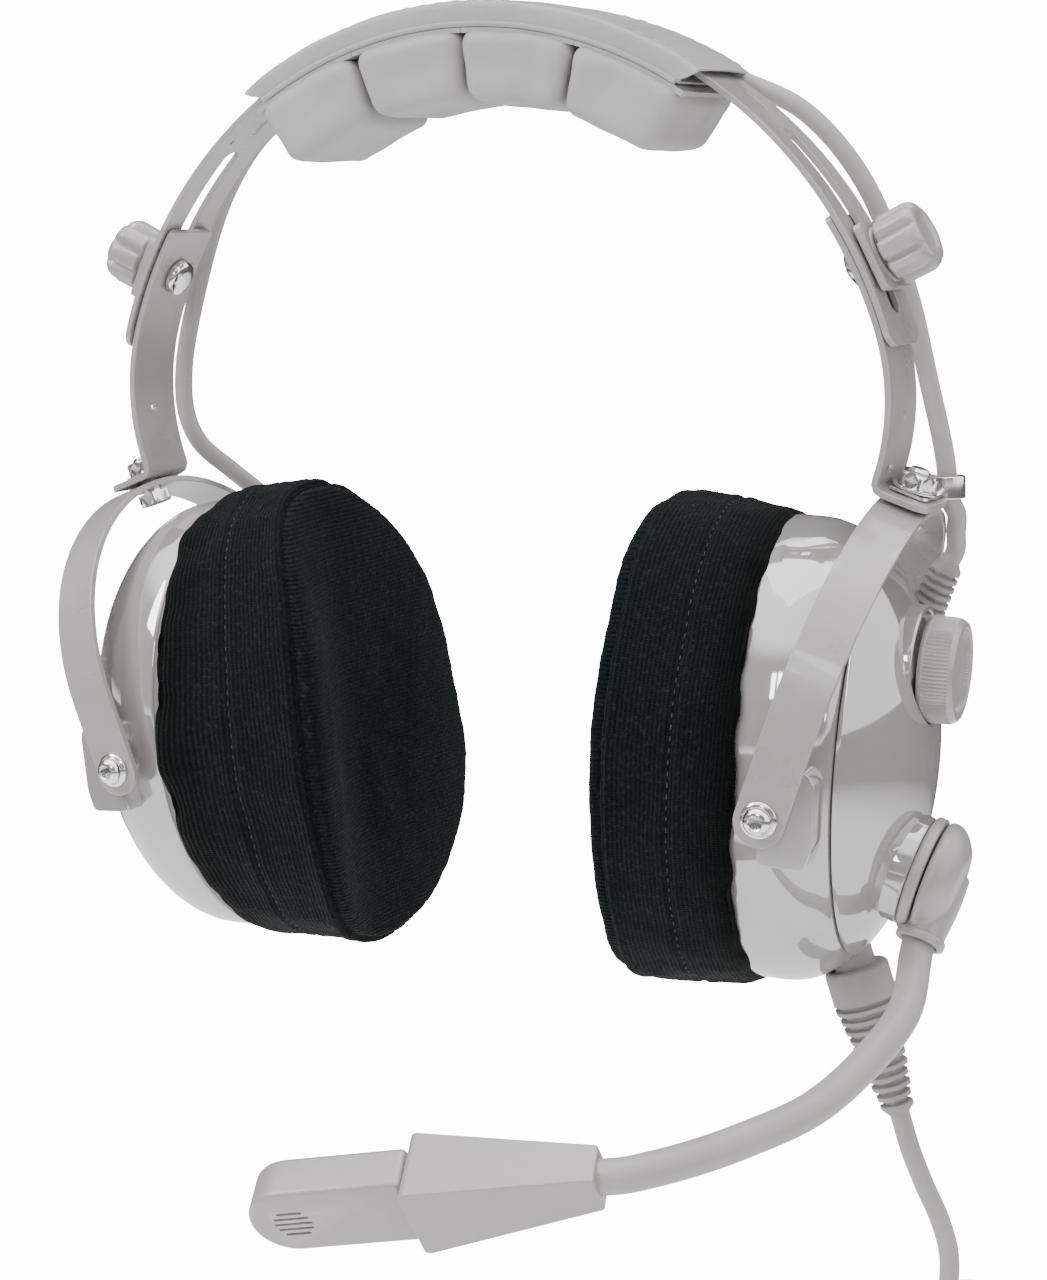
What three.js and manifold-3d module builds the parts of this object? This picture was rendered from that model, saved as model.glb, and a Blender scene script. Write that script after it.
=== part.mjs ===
// Radio headset with a sprung headband, two stirrup-hung ear cups and a boom microphone.
// Millimetres, +Z up. The wearer faces -Y and the microphone is carried by the cup on +X.
// The origin is midway between the ear cups, at the height of their tilting pivots.

import * as THREE from 'three';
import { mergeVertices } from 'three/addons/utils/BufferGeometryUtils.js';
import Module from 'manifold-3d';

const wasm = await Module();
wasm.setup();

const DEG = Math.PI / 180;
const GAP = 0.3;

// ---- driving dimensions -------------------------------------------------------------------

// Headband: every curved strip shares one centre. Angles are above the horizontal.
const ARC_CENTRE_Z = 70.6;
const SPRING = { inner: 103.0, outer: 104.5, width: 20, end: 15 };
const SLOT = { width: 5.4, low: 19, high: 46 };
const COVER = { inner: 100.4, outer: 106.6, halfWidth: 16.8, wall: 0.6, end: 57 };
const PAD = { cells: 4, inner: 86.5, outer: 98.6, halfWidth: 16, end: 57, gapAngle: 1, round: 1.5 };

// Sliding arm: concentric with the band, then bent inwards, ending in an outward tab.
const ARM = { radius: 101.8, thick: 1.6, width: 18, top: 33, bendStart: 18, bendRadius: 53, lean: 20 };
const TAB = { fillet: 2, boltOut: 6.5, length: 13 };
const CLAMP = { angle: 26, hole: 2.7, shaft: 2.2, head: 4.6, plate: 16, knob: 8.2, knobEnd: 118 };

// Stirrup and its bolt, measured along the stirrup from the pivot line.
const STIRRUP = { halfSpan: 47.8, thick: 1.6, width: 11.5, straight: 18, below: 6.5 };
const BOLT = { shaft: 2.4, hole: 2.7, head: 4.4, headHeight: 2.8, nut: 4.6, nutHeight: 3.8 };

// Ear cup, in its own frame: x outwards from the head, z up, the pivot line along y.
const CUP = { half: 42, ratio: 1.29, lift: 4.5, base: -2, apex: 27.5, seam: 12.5, rim: -9, wall: 2.2 };
const CUP_LEAN = 4.3;
const CUP_YAW = 6;
const FLANGE = { half: 42.2, front: -11.6, back: -9.3 };
const SEAL = { outer: 42.6, inner: 26, front: -37.3, back: -11.9, round: 5 };
const EAR_COVER = { half: 44.9, face: -39.3, cloth: 1.5, hem: -7.6, hemHalf: 43.6 };
const SPEAKER = { rim: 18.4, cone: 17, magnet: 12, depth: 11 };
const LUG = { low: -1, high: 10.5, halfHeight: 11, out: 45.9 };
const PIVOT = { shaft: 2.1, hole: 2.4, washer: 4.1, head: 3.2, washerThick: 0.9, headThick: 2.4 };

// Volume control and boom swivel on the right cup.
const VOLUME = { y: 0, z: 26.5, floor: 23.6, seat: 24.2, knob: 12.2, thick: 8.4, shaft: 3.0, pot: 7 };
const SWIVEL = { x: 23.6, y: -5, z: -19, lean: 15, boss: 12.8, disc: 13.4, bossHeight: 2.6 };
const HEAD = { start: 5.6, thick: 7.4, axisAt: 9.2, socket: 5.4, socketOut: 15.5, aim: 33 };
const BOOM = { radius: 3.8, sides: 12 };
const MIC = {
  neck: 4.7, shoulder: 9.8, cheek: 8.5, length: 40, depth: 10.5, half: 9.2, capsule: 36.5, wall: 1.6,
};

// Cables.
const CROSS = { radius: 2.3, sides: 8, y: 13.2, r: 103.5 };
const CORD = { radius: 2.4, sides: 10 };
const COIL = { turnRadius: 27.5, bundle: 7.4 };

// ---- materials ----------------------------------------------------------------------------

function finish(color, roughness, metalness) {
  return new THREE.MeshStandardMaterial({ color, roughness, metalness });
}

const gloss = finish(0xb3aeac, 0.12, 0);
const satin = finish(0xa8a3a1, 0.45, 0);
const painted = finish(0xb4b0ae, 0.35, 0.2);
const chrome = finish(0xe2e0da, 0.15, 1);
const cloth = finish(0x161d1f, 0.95, 0);
const padding = finish(0xb7b2b0, 0.6, 0);
const rubber = finish(0xa5a09e, 0.6, 0);
const inner = finish(0x6d6a69, 0.7, 0);

// ---- solids -------------------------------------------------------------------------------

function toSolid(geometry) {
  const bare = geometry.clone();
  bare.deleteAttribute('normal');
  bare.deleteAttribute('uv');
  const merged = mergeVertices(bare, 1e-4);
  return new wasm.Manifold(new wasm.Mesh({
    numProp: 3,
    vertProperties: new Float32Array(merged.attributes.position.array),
    triVerts: new Uint32Array(merged.index.array),
  }));
}

function fromSolid(solid) {
  const mesh = solid.getMesh();
  const geometry = new THREE.BufferGeometry();
  geometry.setAttribute('position', new THREE.BufferAttribute(mesh.vertProperties, 3));
  geometry.setIndex(new THREE.BufferAttribute(mesh.triVerts, 1));
  geometry.computeVertexNormals();
  return geometry;
}

function cut(base, ...tools) {
  return fromSolid(tools.reduce((solid, tool) => solid.subtract(toSolid(tool)), toSolid(base)));
}

function join(base, ...others) {
  return fromSolid(others.reduce((solid, other) => solid.add(toSolid(other)), toSolid(base)));
}

// A cylinder along x, from one station to another.
function rodX(radius, from, to, sides = 16, endRadius = radius) {
  return new THREE.CylinderGeometry(endRadius, radius, to - from, sides)
    .rotateZ(-Math.PI / 2)
    .translate((from + to) / 2, 0, 0);
}

// A cylinder along z.
function rodZ(radius, from, to, sides = 20, endRadius = radius) {
  return new THREE.CylinderGeometry(endRadius, radius, to - from, sides)
    .rotateX(Math.PI / 2)
    .translate(0, 0, (from + to) / 2);
}

// A cylinder along y.
function rodY(radius, from, to, sides = 20) {
  return new THREE.CylinderGeometry(radius, radius, to - from, sides).translate(0, (from + to) / 2, 0);
}

function box(x0, x1, y0, y1, z0, z1) {
  return new THREE.BoxGeometry(x1 - x0, y1 - y0, z1 - z0)
    .translate((x0 + x1) / 2, (y0 + y1) / 2, (z0 + z1) / 2);
}

// A profile of [radius, station] pairs turned about the x axis and stretched to an oval in z.
function oval(profile, segments = 24, ratio = CUP.ratio) {
  const points = profile.map(([radius, station]) => new THREE.Vector2(radius, station));
  return new THREE.LatheGeometry(points, segments).rotateZ(-Math.PI / 2).scale(1, 1, ratio);
}

// A flat outline in x and z, given thickness along y about y = 0.
function plateXZ(shape, width, curveSegments = 12) {
  return new THREE.ExtrudeGeometry(shape, { depth: width, bevelEnabled: false, curveSegments })
    .rotateX(Math.PI / 2)
    .translate(0, width / 2, 0);
}

// A curved strip about the headband's centre.
function sector(innerRadius, outerRadius, fromDeg, toDeg, width, curveSegments) {
  const shape = new THREE.Shape();
  shape.absarc(0, 0, outerRadius, fromDeg * DEG, toDeg * DEG, false);
  shape.absarc(0, 0, innerRadius, toDeg * DEG, fromDeg * DEG, true);
  return plateXZ(shape, width, curveSegments).translate(0, 0, ARC_CENTRE_Z);
}

// A round tube along a smooth curve through the given points.
function tube(points, radius, sides, steps) {
  const section = [];
  for (let i = 0; i < sides; i += 1) {
    const turn = (2 * Math.PI * i) / sides;
    section.push(new THREE.Vector2(radius * Math.cos(turn), radius * Math.sin(turn)));
  }
  const path = new THREE.CatmullRomCurve3(points.map((p) => new THREE.Vector3(...p)), false, 'centripetal');
  return new THREE.ExtrudeGeometry(new THREE.Shape(section), {
    steps, extrudePath: path, bevelEnabled: false,
  });
}

// A strip of even thickness along a centre line of [x, z] points.
function strip(line, thickness, width) {
  const left = [];
  const right = [];
  line.forEach(([x, z], i) => {
    const [px, pz] = line[Math.max(i - 1, 0)];
    const [nx, nz] = line[Math.min(i + 1, line.length - 1)];
    const length = Math.hypot(nx - px, nz - pz);
    const ox = (-(nz - pz) / length) * (thickness / 2);
    const oz = ((nx - px) / length) * (thickness / 2);
    left.push(new THREE.Vector2(x + ox, z + oz));
    right.push(new THREE.Vector2(x - ox, z - oz));
  });
  return plateXZ(new THREE.Shape([...left, ...right.reverse()]), width);
}

// Points on an arc in x and z, from one angle to another.
function arcPoints(cx, cz, radius, fromDeg, toDeg, count) {
  const points = [];
  for (let i = 0; i <= count; i += 1) {
    const angle = (fromDeg + ((toDeg - fromDeg) * i) / count) * DEG;
    points.push([cx + radius * Math.cos(angle), cz + radius * Math.sin(angle)]);
  }
  return points;
}

function add(parent, name, geometry, material) {
  const mesh = new THREE.Mesh(geometry, material);
  mesh.name = name;
  parent.add(mesh);
  return mesh;
}

function frameIn(parent, position, rotationOrder = 'XYZ', rotation = [0, 0, 0]) {
  const group = new THREE.Group();
  group.position.set(...position);
  group.rotation.set(...rotation.map((angle) => angle * DEG), rotationOrder);
  parent.add(group);
  return group;
}

function worldPoint(group, point) {
  group.updateWorldMatrix(true, false);
  return group.localToWorld(new THREE.Vector3(...point)).toArray();
}

const headset = new THREE.Group();

// ---- headband -----------------------------------------------------------------------------

const slots = [SLOT.low, 180 - SLOT.high].map((from) => (
  sector(SPRING.inner - 3, SPRING.outer + 3, from, from + SLOT.high - SLOT.low, SLOT.width, 7)
));
const springStrip = sector(SPRING.inner, SPRING.outer, SPRING.end, 180 - SPRING.end, SPRING.width, 18);
add(headset, 'headband_spring', cut(springStrip, ...slots), painted);

const coverOuter = sector(COVER.inner, COVER.outer, COVER.end, 180 - COVER.end, 2 * COVER.halfWidth, 9);
const coverHollow = sector(COVER.inner + COVER.wall, COVER.outer - COVER.wall,
  COVER.end - 2, 182 - COVER.end, 2 * (COVER.halfWidth - COVER.wall), 9);
add(headset, 'headband_cover', cut(coverOuter, coverHollow), satin);

function padCell(index) {
  const span = (180 - 2 * PAD.end - (PAD.cells - 1) * PAD.gapAngle) / PAD.cells;
  const from = PAD.end + index * (span + PAD.gapAngle);
  const shape = new THREE.Shape();
  const inset = 1;
  shape.absarc(0, 0, PAD.outer, (from + inset) * DEG, (from + span - inset) * DEG, false);
  shape.absarc(0, 0, PAD.inner, (from + span - inset) * DEG, (from + inset) * DEG, true);
  return new THREE.ExtrudeGeometry(shape, {
    depth: 2 * PAD.halfWidth, bevelThickness: 3, bevelSize: PAD.round, bevelSegments: 1, curveSegments: 3,
  }).rotateX(Math.PI / 2).translate(0, PAD.halfWidth, ARC_CENTRE_Z);
}

for (let i = 0; i < PAD.cells; i += 1) {
  add(headset, `head_pad_cell_${i + 1}`, padCell(i), padding);
}

const topRun = arcPoints(0, ARC_CENTRE_Z, CROSS.r, COVER.end + 0.2, 179.8 - COVER.end, 8);
add(headset, 'crossover_cable_top', tube(topRun.map(([x, z]) => [x, CROSS.y, z]),
  CROSS.radius, CROSS.sides, 16), rubber);

// ---- one side: arm, clamp, stirrup and cup ------------------------------------------------

// Centre line of the arm, from its top end down to the end of the tab.
function armLine() {
  const concentric = arcPoints(0, ARC_CENTRE_Z, ARM.radius, ARM.top, ARM.bendStart, 4);
  const reach = ARM.radius - ARM.bendRadius;
  const bendX = reach * Math.cos(ARM.bendStart * DEG);
  const bendZ = ARC_CENTRE_Z + reach * Math.sin(ARM.bendStart * DEG);
  const bend = arcPoints(bendX, bendZ, ARM.bendRadius, ARM.bendStart, -ARM.lean, 9).slice(1);
  const [endX, endZ] = bend[bend.length - 1];
  const outX = Math.cos(ARM.lean * DEG);
  const outZ = -Math.sin(ARM.lean * DEG);
  const filletX = endX + TAB.fillet * outX;
  const filletZ = endZ + TAB.fillet * outZ;
  const fillet = arcPoints(filletX, filletZ, TAB.fillet, 180 - ARM.lean, 270 - ARM.lean, 3).slice(1);
  const [tabX, tabZ] = fillet[fillet.length - 1];
  const run = TAB.length - TAB.fillet;
  const line = [...concentric, ...bend, ...fillet, [tabX + run * outX, tabZ + run * outZ]];
  const bolt = [tabX + (TAB.boltOut - TAB.fillet) * outX, tabZ + (TAB.boltOut - TAB.fillet) * outZ];
  return { line, bolt };
}

const arm = armLine();
const tabHeight = arm.bolt[1] / Math.cos(ARM.lean * DEG);
const pivotX = arm.bolt[0] - tabHeight * Math.sin(ARM.lean * DEG);
const stirrupTop = tabHeight - ARM.thick / 2 - GAP;

// U-shaped strip: straight legs and a round top.
function stirrupSolid() {
  const outline = (half, top, foot) => {
    const shape = new THREE.Shape();
    shape.moveTo(half, foot);
    shape.lineTo(half, STIRRUP.straight);
    shape.absellipse(0, STIRRUP.straight, half, top - STIRRUP.straight, 0, Math.PI, false);
    shape.lineTo(-half, foot);
    return shape;
  };
  const outer = outline(STIRRUP.halfSpan, stirrupTop, -STIRRUP.below);
  const innerHalf = STIRRUP.halfSpan - STIRRUP.thick;
  const hollow = outline(innerHalf, stirrupTop - STIRRUP.thick, -STIRRUP.below - 2);
  const blank = cut(plateXZ(outer, STIRRUP.width, 12), plateXZ(hollow, STIRRUP.width + 4, 12));
  return cut(blank.rotateZ(Math.PI / 2),
    rodY(PIVOT.hole, -STIRRUP.halfSpan - 3, STIRRUP.halfSpan + 3, 12),
    rodZ(BOLT.hole, stirrupTop - 6, stirrupTop + 4, 12));
}

function cupRadius(station, grow = 0) {
  const reach = (Math.max(station, CUP.base) - CUP.base) / (CUP.apex + grow - CUP.base);
  return (CUP.half + grow) * Math.sqrt(Math.max(0, 1 - reach * reach));
}

function stations(from, to, count) {
  return Array.from({ length: count + 1 }, (unused, i) => from + ((to - from) * i) / count);
}

function innerShell(holes) {
  const levels = [CUP.rim, CUP.base, 6, CUP.seam];
  const outside = levels.map((x) => [cupRadius(x), x]);
  const inside = levels.map((x) => [cupRadius(x, -CUP.wall), x]).reverse();
  const shell = oval([...outside, ...inside, outside[0]]).translate(0, 0, CUP.lift);
  const lugs = [-1, 1].map((end) => {
    const [y0, y1] = end > 0 ? [CUP.half - 3, LUG.out] : [-LUG.out, 3 - CUP.half];
    return box(LUG.low, LUG.high - LUG.low, y0, y1, -LUG.halfHeight, LUG.halfHeight);
  });
  const pocket = oval([[0, CUP.rim - 1], [cupRadius(0, -CUP.wall), CUP.rim - 1],
    [cupRadius(0, -CUP.wall), CUP.seam], [0, CUP.seam]]).translate(0, 0, CUP.lift);
  const clearLugs = lugs.map((lug) => cut(lug, pocket));
  return cut(join(shell, ...clearLugs), rodY(PIVOT.hole, -50, 50, 12), ...holes);
}

function domeProfile() {
  const seam = CUP.seam + GAP;
  const depth = CUP.apex - CUP.base;
  const start = Math.asin((seam - CUP.base) / depth);
  const outside = stations(start, Math.PI / 2, 4).map((t) => (
    [CUP.half * Math.cos(t), CUP.base + depth * Math.sin(t)]));
  const innerDepth = depth - CUP.wall;
  const innerStart = Math.asin((seam - CUP.base) / innerDepth);
  const inside = stations(Math.PI / 2, innerStart, 3).map((t) => (
    [(CUP.half - CUP.wall) * Math.cos(t), CUP.base + innerDepth * Math.sin(t)]));
  inside[0][0] = 0;
  outside[outside.length - 1][0] = 0;
  return [...inside, ...outside];
}

function earSeal() {
  const { outer, inner: hole, front, back, round } = SEAL;
  return oval([
    [hole, back], [hole, front + round], [hole + round, front], [outer - round, front],
    [outer, front + round], [outer, back - 3], [outer - 2, back], [hole, back],
  ]);
}

function earCover() {
  const { half, face, cloth: thick, hem, hemHalf } = EAR_COVER;
  return oval([
    [0, face], [half - 3.2, face], [half - 0.8, face + 1.6], [half, face + 12], [half, hem - 5],
    [hemHalf, hem], [hemHalf - thick, hem], [half - thick, hem - 4.6],
    [half - thick - 0.6, face + 2.6], [half - 4, face + thick], [0, face + thick],
  ]);
}

function speaker() {
  const front = FLANGE.back + GAP;
  return oval([
    [0, front + 2], [SPEAKER.cone - 2, front], [SPEAKER.rim + 2, front], [SPEAKER.rim + 2, front + 2],
    [SPEAKER.magnet, front + 6], [SPEAKER.magnet, front + SPEAKER.depth], [0, front + SPEAKER.depth],
  ], 20, 1);
}

function pivotScrew(end) {
  const washer = STIRRUP.halfSpan + GAP;
  const head = washer + PIVOT.washerThick;
  const place = (radius, from, to, sides = 10) => (
    end > 0 ? rodY(radius, from, to, sides) : rodY(radius, -to, -from, sides));
  return join(place(PIVOT.shaft, CUP.half - 6, head + 1),
    place(PIVOT.washer, washer, head, 14),
    place(PIVOT.head, head - 0.2, head + PIVOT.headThick, 6));
}

// A ribbed boot that tapers from its collar to the cable, along x in its own frame.
function boot(neck, collar, tip, length, ribs) {
  const profile = [[0, -6], [neck, -6], [neck, 0], [collar, 0.4]];
  for (let i = 0; i < ribs; i += 1) {
    const at = 3 + ((length - 4) * i) / ribs;
    const radius = collar + ((tip - collar) * i) / ribs;
    profile.push([radius, at], [radius - 0.9, at + 0.6]);
  }
  profile.push([tip, length], [0, length]);
  return oval(profile, 10, 1);
}

function makeSide(side) {
  const label = side > 0 ? 'right' : 'left';
  const sideFrame = frameIn(headset, [0, 0, 0], 'XYZ', [0, 0, side > 0 ? 0 : 180]);

  // Arm, with holes for the clamp screw and the stirrup bolt.
  const clampHole = rodX(CLAMP.hole, 95, 108, 12).rotateY(-CLAMP.angle * DEG)
    .translate(0, 0, ARC_CENTRE_Z);
  const boltHole = rodZ(BOLT.hole, -5, 5, 12).rotateY(ARM.lean * DEG)
    .translate(arm.bolt[0], 0, arm.bolt[1]);
  const armStrip = strip(arm.line, ARM.thick, ARM.width);
  add(sideFrame, `${label}_slide_arm`, cut(armStrip, clampHole, boltHole), painted);

  // Clamp: screw from inside, plate and knob outside, on a radius of the headband.
  const clampFrame = frameIn(sideFrame, [0, 0, ARC_CENTRE_Z], 'XYZ', [0, -CLAMP.angle, 0]);
  const armInside = ARM.radius - ARM.thick / 2;
  const screwHead = rodX(CLAMP.head, armInside - GAP - 2.6, armInside - GAP, 20);
  const screwShaft = rodX(CLAMP.shaft, armInside - 2, CLAMP.knobEnd - 3, 12);
  add(clampFrame, `${label}_clamp_screw`, join(screwHead, screwShaft), chrome);
  const plateFrom = SPRING.outer + GAP + 0.3;
  const plateTo = plateFrom + 1.8;
  const half = CLAMP.plate / 2;
  add(clampFrame, `${label}_clamp_plate`, cut(box(plateFrom, plateTo, -half, half, -half, half),
    rodX(CLAMP.hole, 90, 120, 12)), satin);
  const lobes = new THREE.Shape(Array.from({ length: 16 }, (unused, i) => {
    const radius = i % 2 ? CLAMP.knob : CLAMP.knob - 1.1;
    return new THREE.Vector2(radius * Math.cos((i * Math.PI) / 8), radius * Math.sin((i * Math.PI) / 8));
  }));
  const knobBody = new THREE.ExtrudeGeometry(lobes, {
    depth: CLAMP.knobEnd - plateTo - GAP, bevelEnabled: false,
  }).rotateY(Math.PI / 2).translate(plateTo + GAP, 0, 0);
  add(clampFrame, `${label}_clamp_knob`, cut(knobBody, rodX(CLAMP.hole, 90, 125, 12)), satin);

  // Stirrup, leaning with the tab and turned a little about its own bolt.
  const tabFrame = frameIn(sideFrame, [pivotX, 0, 0], 'XYZ', [0, ARM.lean, 0]);
  const nutSeat = tabHeight + ARM.thick / 2 + GAP + (side > 0 ? 1.1 : 0);
  const boltHead = rodZ(BOLT.head, stirrupTop - STIRRUP.thick - 1 - BOLT.headHeight,
    stirrupTop - STIRRUP.thick - 1, 16);
  const boltShaft = rodZ(BOLT.shaft, stirrupTop - 5, nutSeat + BOLT.nutHeight + 1, 12);
  add(tabFrame, `${label}_stirrup_bolt`, join(boltHead, boltShaft), chrome);
  add(tabFrame, `${label}_stirrup_nut`, cut(rodZ(BOLT.nut, nutSeat, nutSeat + BOLT.nutHeight, 6),
    rodZ(BOLT.hole, 0, 90, 12)), chrome);

  const stirrupFrame = frameIn(tabFrame, [0, 0, 0], 'XYZ', [0, 0, side * CUP_YAW]);
  add(stirrupFrame, `${label}_stirrup`, stirrupSolid(), painted);

  // Cup, turning on the pivot line.
  const cup = frameIn(stirrupFrame, [0, 0, 0], 'XYZ', [0, CUP_LEAN - ARM.lean, 0]);
  return { label, side, cup };
}

// The cable's boot on each cup: where it enters the cup and which way it points.
const BOOTS = {
  right: { at: [17.5, 24, 33], turn: [0, -68, 0], length: 15 },
  left: { at: [0, 28, 43], turn: [0, -75, 0], length: 10 },
};

function fillCup({ label, side, cup }, extraCuts, extraBosses) {
  const entry = BOOTS[label];
  const place = [entry.at[0], side * entry.at[1], entry.at[2]];
  const bootFrame = frameIn(cup, place, 'XYZ', entry.turn);
  const bootHole = rodX(3.3, -14, 3, 12).rotateY(entry.turn[1] * DEG).translate(...place);
  add(bootFrame, `${label}_cable_boot`, boot(3.0, 4.4, 3.0, entry.length, 4), rubber);

  const dome = oval(domeProfile()).translate(0, 0, CUP.lift);
  const raised = extraBosses.length ? join(dome, ...extraBosses) : dome;
  const bootRoom = rodX(5.2, -0.6, 14, 12).rotateY(entry.turn[1] * DEG).translate(...place);
  add(cup, `${label}_outer_dome`, cut(raised, bootHole, bootRoom, ...extraCuts), gloss);
  add(cup, `${label}_inner_shell`, innerShell([bootHole, bootRoom, ...extraCuts]), gloss);

  const lifted = (geometry) => geometry.translate(0, 0, CUP.lift);
  const flange = oval([[0, FLANGE.front], [FLANGE.half, FLANGE.front], [FLANGE.half, FLANGE.back],
    [0, FLANGE.back]]);
  add(cup, `${label}_baffle`, lifted(cut(flange, rodX(SPEAKER.cone - 3, -20, 0, 20))), inner);
  add(cup, `${label}_speaker`, lifted(speaker()), inner);
  add(cup, `${label}_ear_seal`, lifted(earSeal()), padding);
  add(cup, `${label}_ear_cover`, lifted(earCover()), cloth);
  add(cup, `${label}_pivot_screw_front`, pivotScrew(-side), chrome);
  add(cup, `${label}_pivot_screw_back`, pivotScrew(side), chrome);
}

const left = makeSide(-1);
fillCup(left, [], []);

// ---- right cup: volume control, swivel, boom and microphone -------------------------------

const right = makeSide(1);
const swivelPlace = (geometry) => geometry.rotateY(SWIVEL.lean * DEG)
  .translate(SWIVEL.x, SWIVEL.y, SWIVEL.z);
const volumePlace = (geometry) => geometry.translate(0, VOLUME.y, VOLUME.z);
const CORD_EXIT = { at: [10, 0, -40.5], turn: 70 };
const cordPlace = (geometry) => geometry.rotateY(CORD_EXIT.turn * DEG).translate(...CORD_EXIT.at);

const volumeBoss = volumePlace(rodX(VOLUME.knob + 2, VOLUME.floor - 2, VOLUME.floor, 24));
const swivelBoss = swivelPlace(rodX(SWIVEL.boss, -2.6, SWIVEL.bossHeight - GAP, 24));
const volumePocket = volumePlace(rodX(VOLUME.knob + 0.6, VOLUME.floor, 40, 24));
const volumeHole = volumePlace(rodX(VOLUME.shaft + 0.4, 10, 40, 12));
const swivelHole = swivelPlace(rodX(3.4, -12, 8, 12));
const cordHole = cordPlace(rodX(5.2, -10, 9, 14));
const cordRoom = cordPlace(rodX(8.0, 8.7, 30, 14));
fillCup(right, [volumePocket, volumeHole, swivelHole, cordHole, cordRoom], [volumeBoss, swivelBoss]);

const volumeFrame = frameIn(right.cup, [0, VOLUME.y, VOLUME.z]);
add(volumeFrame, 'volume_control', join(
  rodX(VOLUME.pot, 8, 16.5, 16), rodX(VOLUME.shaft, 16, VOLUME.seat + 5, 12)), inner);
add(volumeFrame, 'volume_knob', cut(
  rodX(VOLUME.knob, VOLUME.seat, VOLUME.seat + VOLUME.thick, 28, VOLUME.knob - 0.5),
  rodX(VOLUME.shaft + 0.3, 20, VOLUME.seat + 5.4, 12)), satin);

const swivelFrame = frameIn(right.cup, [SWIVEL.x, SWIVEL.y, SWIVEL.z], 'XYZ', [0, SWIVEL.lean, 0]);
add(swivelFrame, 'swivel_base', join(
  rodX(SWIVEL.disc, SWIVEL.bossHeight, HEAD.start - GAP, 24), rodX(3.0, -6, 5, 12)), satin);

// Swivel head: a disc with a socket that points along its own edge.
const headDisc = oval([[0, HEAD.start], [SWIVEL.disc, HEAD.start], [SWIVEL.disc, HEAD.start + 3.4],
  [SWIVEL.disc - 3.6, HEAD.start + HEAD.thick], [0, HEAD.start + HEAD.thick + 0.6]], 24, 1);
const aimSocket = (geometry) => geometry.rotateX(-HEAD.aim * DEG).translate(HEAD.axisAt, 0, 0);
const socket = aimSocket(rodZ(HEAD.socket, -HEAD.socketOut, -4, 16));
const socketBore = aimSocket(rodZ(BOOM.radius + 0.5, -HEAD.socketOut - 1, -HEAD.socketOut + 6, 14));
const trimmed = cut(socket, rodX(40, HEAD.start - 12, HEAD.start, 24));
add(swivelFrame, 'swivel_head', cut(join(headDisc, trimmed), socketBore), satin);

// Boom: a stiff bendable tube, in two runs that meet at a ball.
const along = (distance) => {
  const aim = HEAD.aim * DEG;
  return worldPoint(swivelFrame, [HEAD.axisAt, -distance * Math.sin(aim), -distance * Math.cos(aim)]);
};
const BOOM_BEND = [99.5, -60, -60.5];
const LOWER_RUN = [along(HEAD.socketOut - 5.6), along(HEAD.socketOut), [108.4, -26, -47.5],
  [104.8, -42, -55.2], BOOM_BEND];
const UPPER_RUN = [[97.6, -63.5, -61.2], [91.5, -77, -62.8], [84.5, -90, -63.8], [79, -98.6, -64.1],
  [75, -102.8, -64.45], [70.77, -103.63, -65.14]];
const ball = new THREE.IcosahedronGeometry(BOOM.radius, 1).translate(...BOOM_BEND);
add(headset, 'boom_lower_tube', join(tube(LOWER_RUN, BOOM.radius, BOOM.sides, 12), ball), rubber);
add(headset, 'boom_upper_tube', tube(UPPER_RUN, BOOM.radius, BOOM.sides, 9), rubber);

// Microphone: x runs along it from the boom, z is up.
const MIC_START = [70.4, -103.7, -65.2];
const MIC_AIM = { turn: 190.2, dip: 9.2, roll: -32 };
const micFrame = frameIn(headset, MIC_START, 'ZYX', [MIC_AIM.roll, MIC_AIM.dip, MIC_AIM.turn]);

// The arm end grows both ways from its square neck to the shoulder.
const wedge = box(0, MIC.length, -1, 1, -1, 1);
const corners = wedge.attributes.position;
for (let i = 0; i < corners.count; i += 1) {
  const part = corners.getX(i) / MIC.length;
  corners.setY(i, corners.getY(i) * (MIC.neck + (MIC.cheek - MIC.neck) * part));
  corners.setZ(i, corners.getZ(i) * (MIC.neck + (MIC.shoulder - MIC.neck) * part));
}
add(micFrame, 'mic_arm_end', cut(wedge, box(-1, 12, -2.8, 2.8, -2.2, 2.2)), satin);

const capsuleFrom = MIC.length + GAP;
const capsuleTo = capsuleFrom + MIC.capsule;
function capsuleOutline(inset) {
  const half = MIC.half - inset;
  const shape = new THREE.Shape();
  shape.moveTo(capsuleFrom + inset, -half);
  shape.lineTo(capsuleTo - MIC.half, -half);
  shape.absarc(capsuleTo - MIC.half, 0, half, -Math.PI / 2, Math.PI / 2, false);
  shape.lineTo(capsuleFrom + inset, half);
  return shape;
}
const vents = stations(-4, 4, 4).map((z) => (
  box(capsuleTo - 13, capsuleTo - 5, -20, 20, z - 0.5, z + 0.5)));
add(micFrame, 'mic_capsule', cut(plateXZ(capsuleOutline(0), MIC.depth, 6),
  plateXZ(capsuleOutline(MIC.wall), MIC.depth - 2 * MIC.wall, 6), ...vents), satin);
add(micFrame, 'mic_element', rodY(4.6, -2.6, 2.6, 16).translate(capsuleTo - 9.2, 0, 0), inner);

// ---- cables -------------------------------------------------------------------------------

const clipAt = [104.6, 17, 64.2];
const coverMouth = [CROSS.r * Math.cos((COVER.end - 0.3) * DEG), CROSS.y,
  ARC_CENTRE_Z + CROSS.r * Math.sin((COVER.end - 0.3) * DEG)];
const bootMouth = ({ label, side, cup }) => {
  const { at, turn, length } = BOOTS[label];
  const tip = (reach) => worldPoint(cup, [at[0] + reach * Math.cos(turn[1] * DEG), side * at[1],
    at[2] - reach * Math.sin(turn[1] * DEG)]);
  return [tip(length + 3), tip(length + GAP)];
};
const step = (from, to, part) => from.map((value, i) => value + (to[i] - value) * part);

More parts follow.
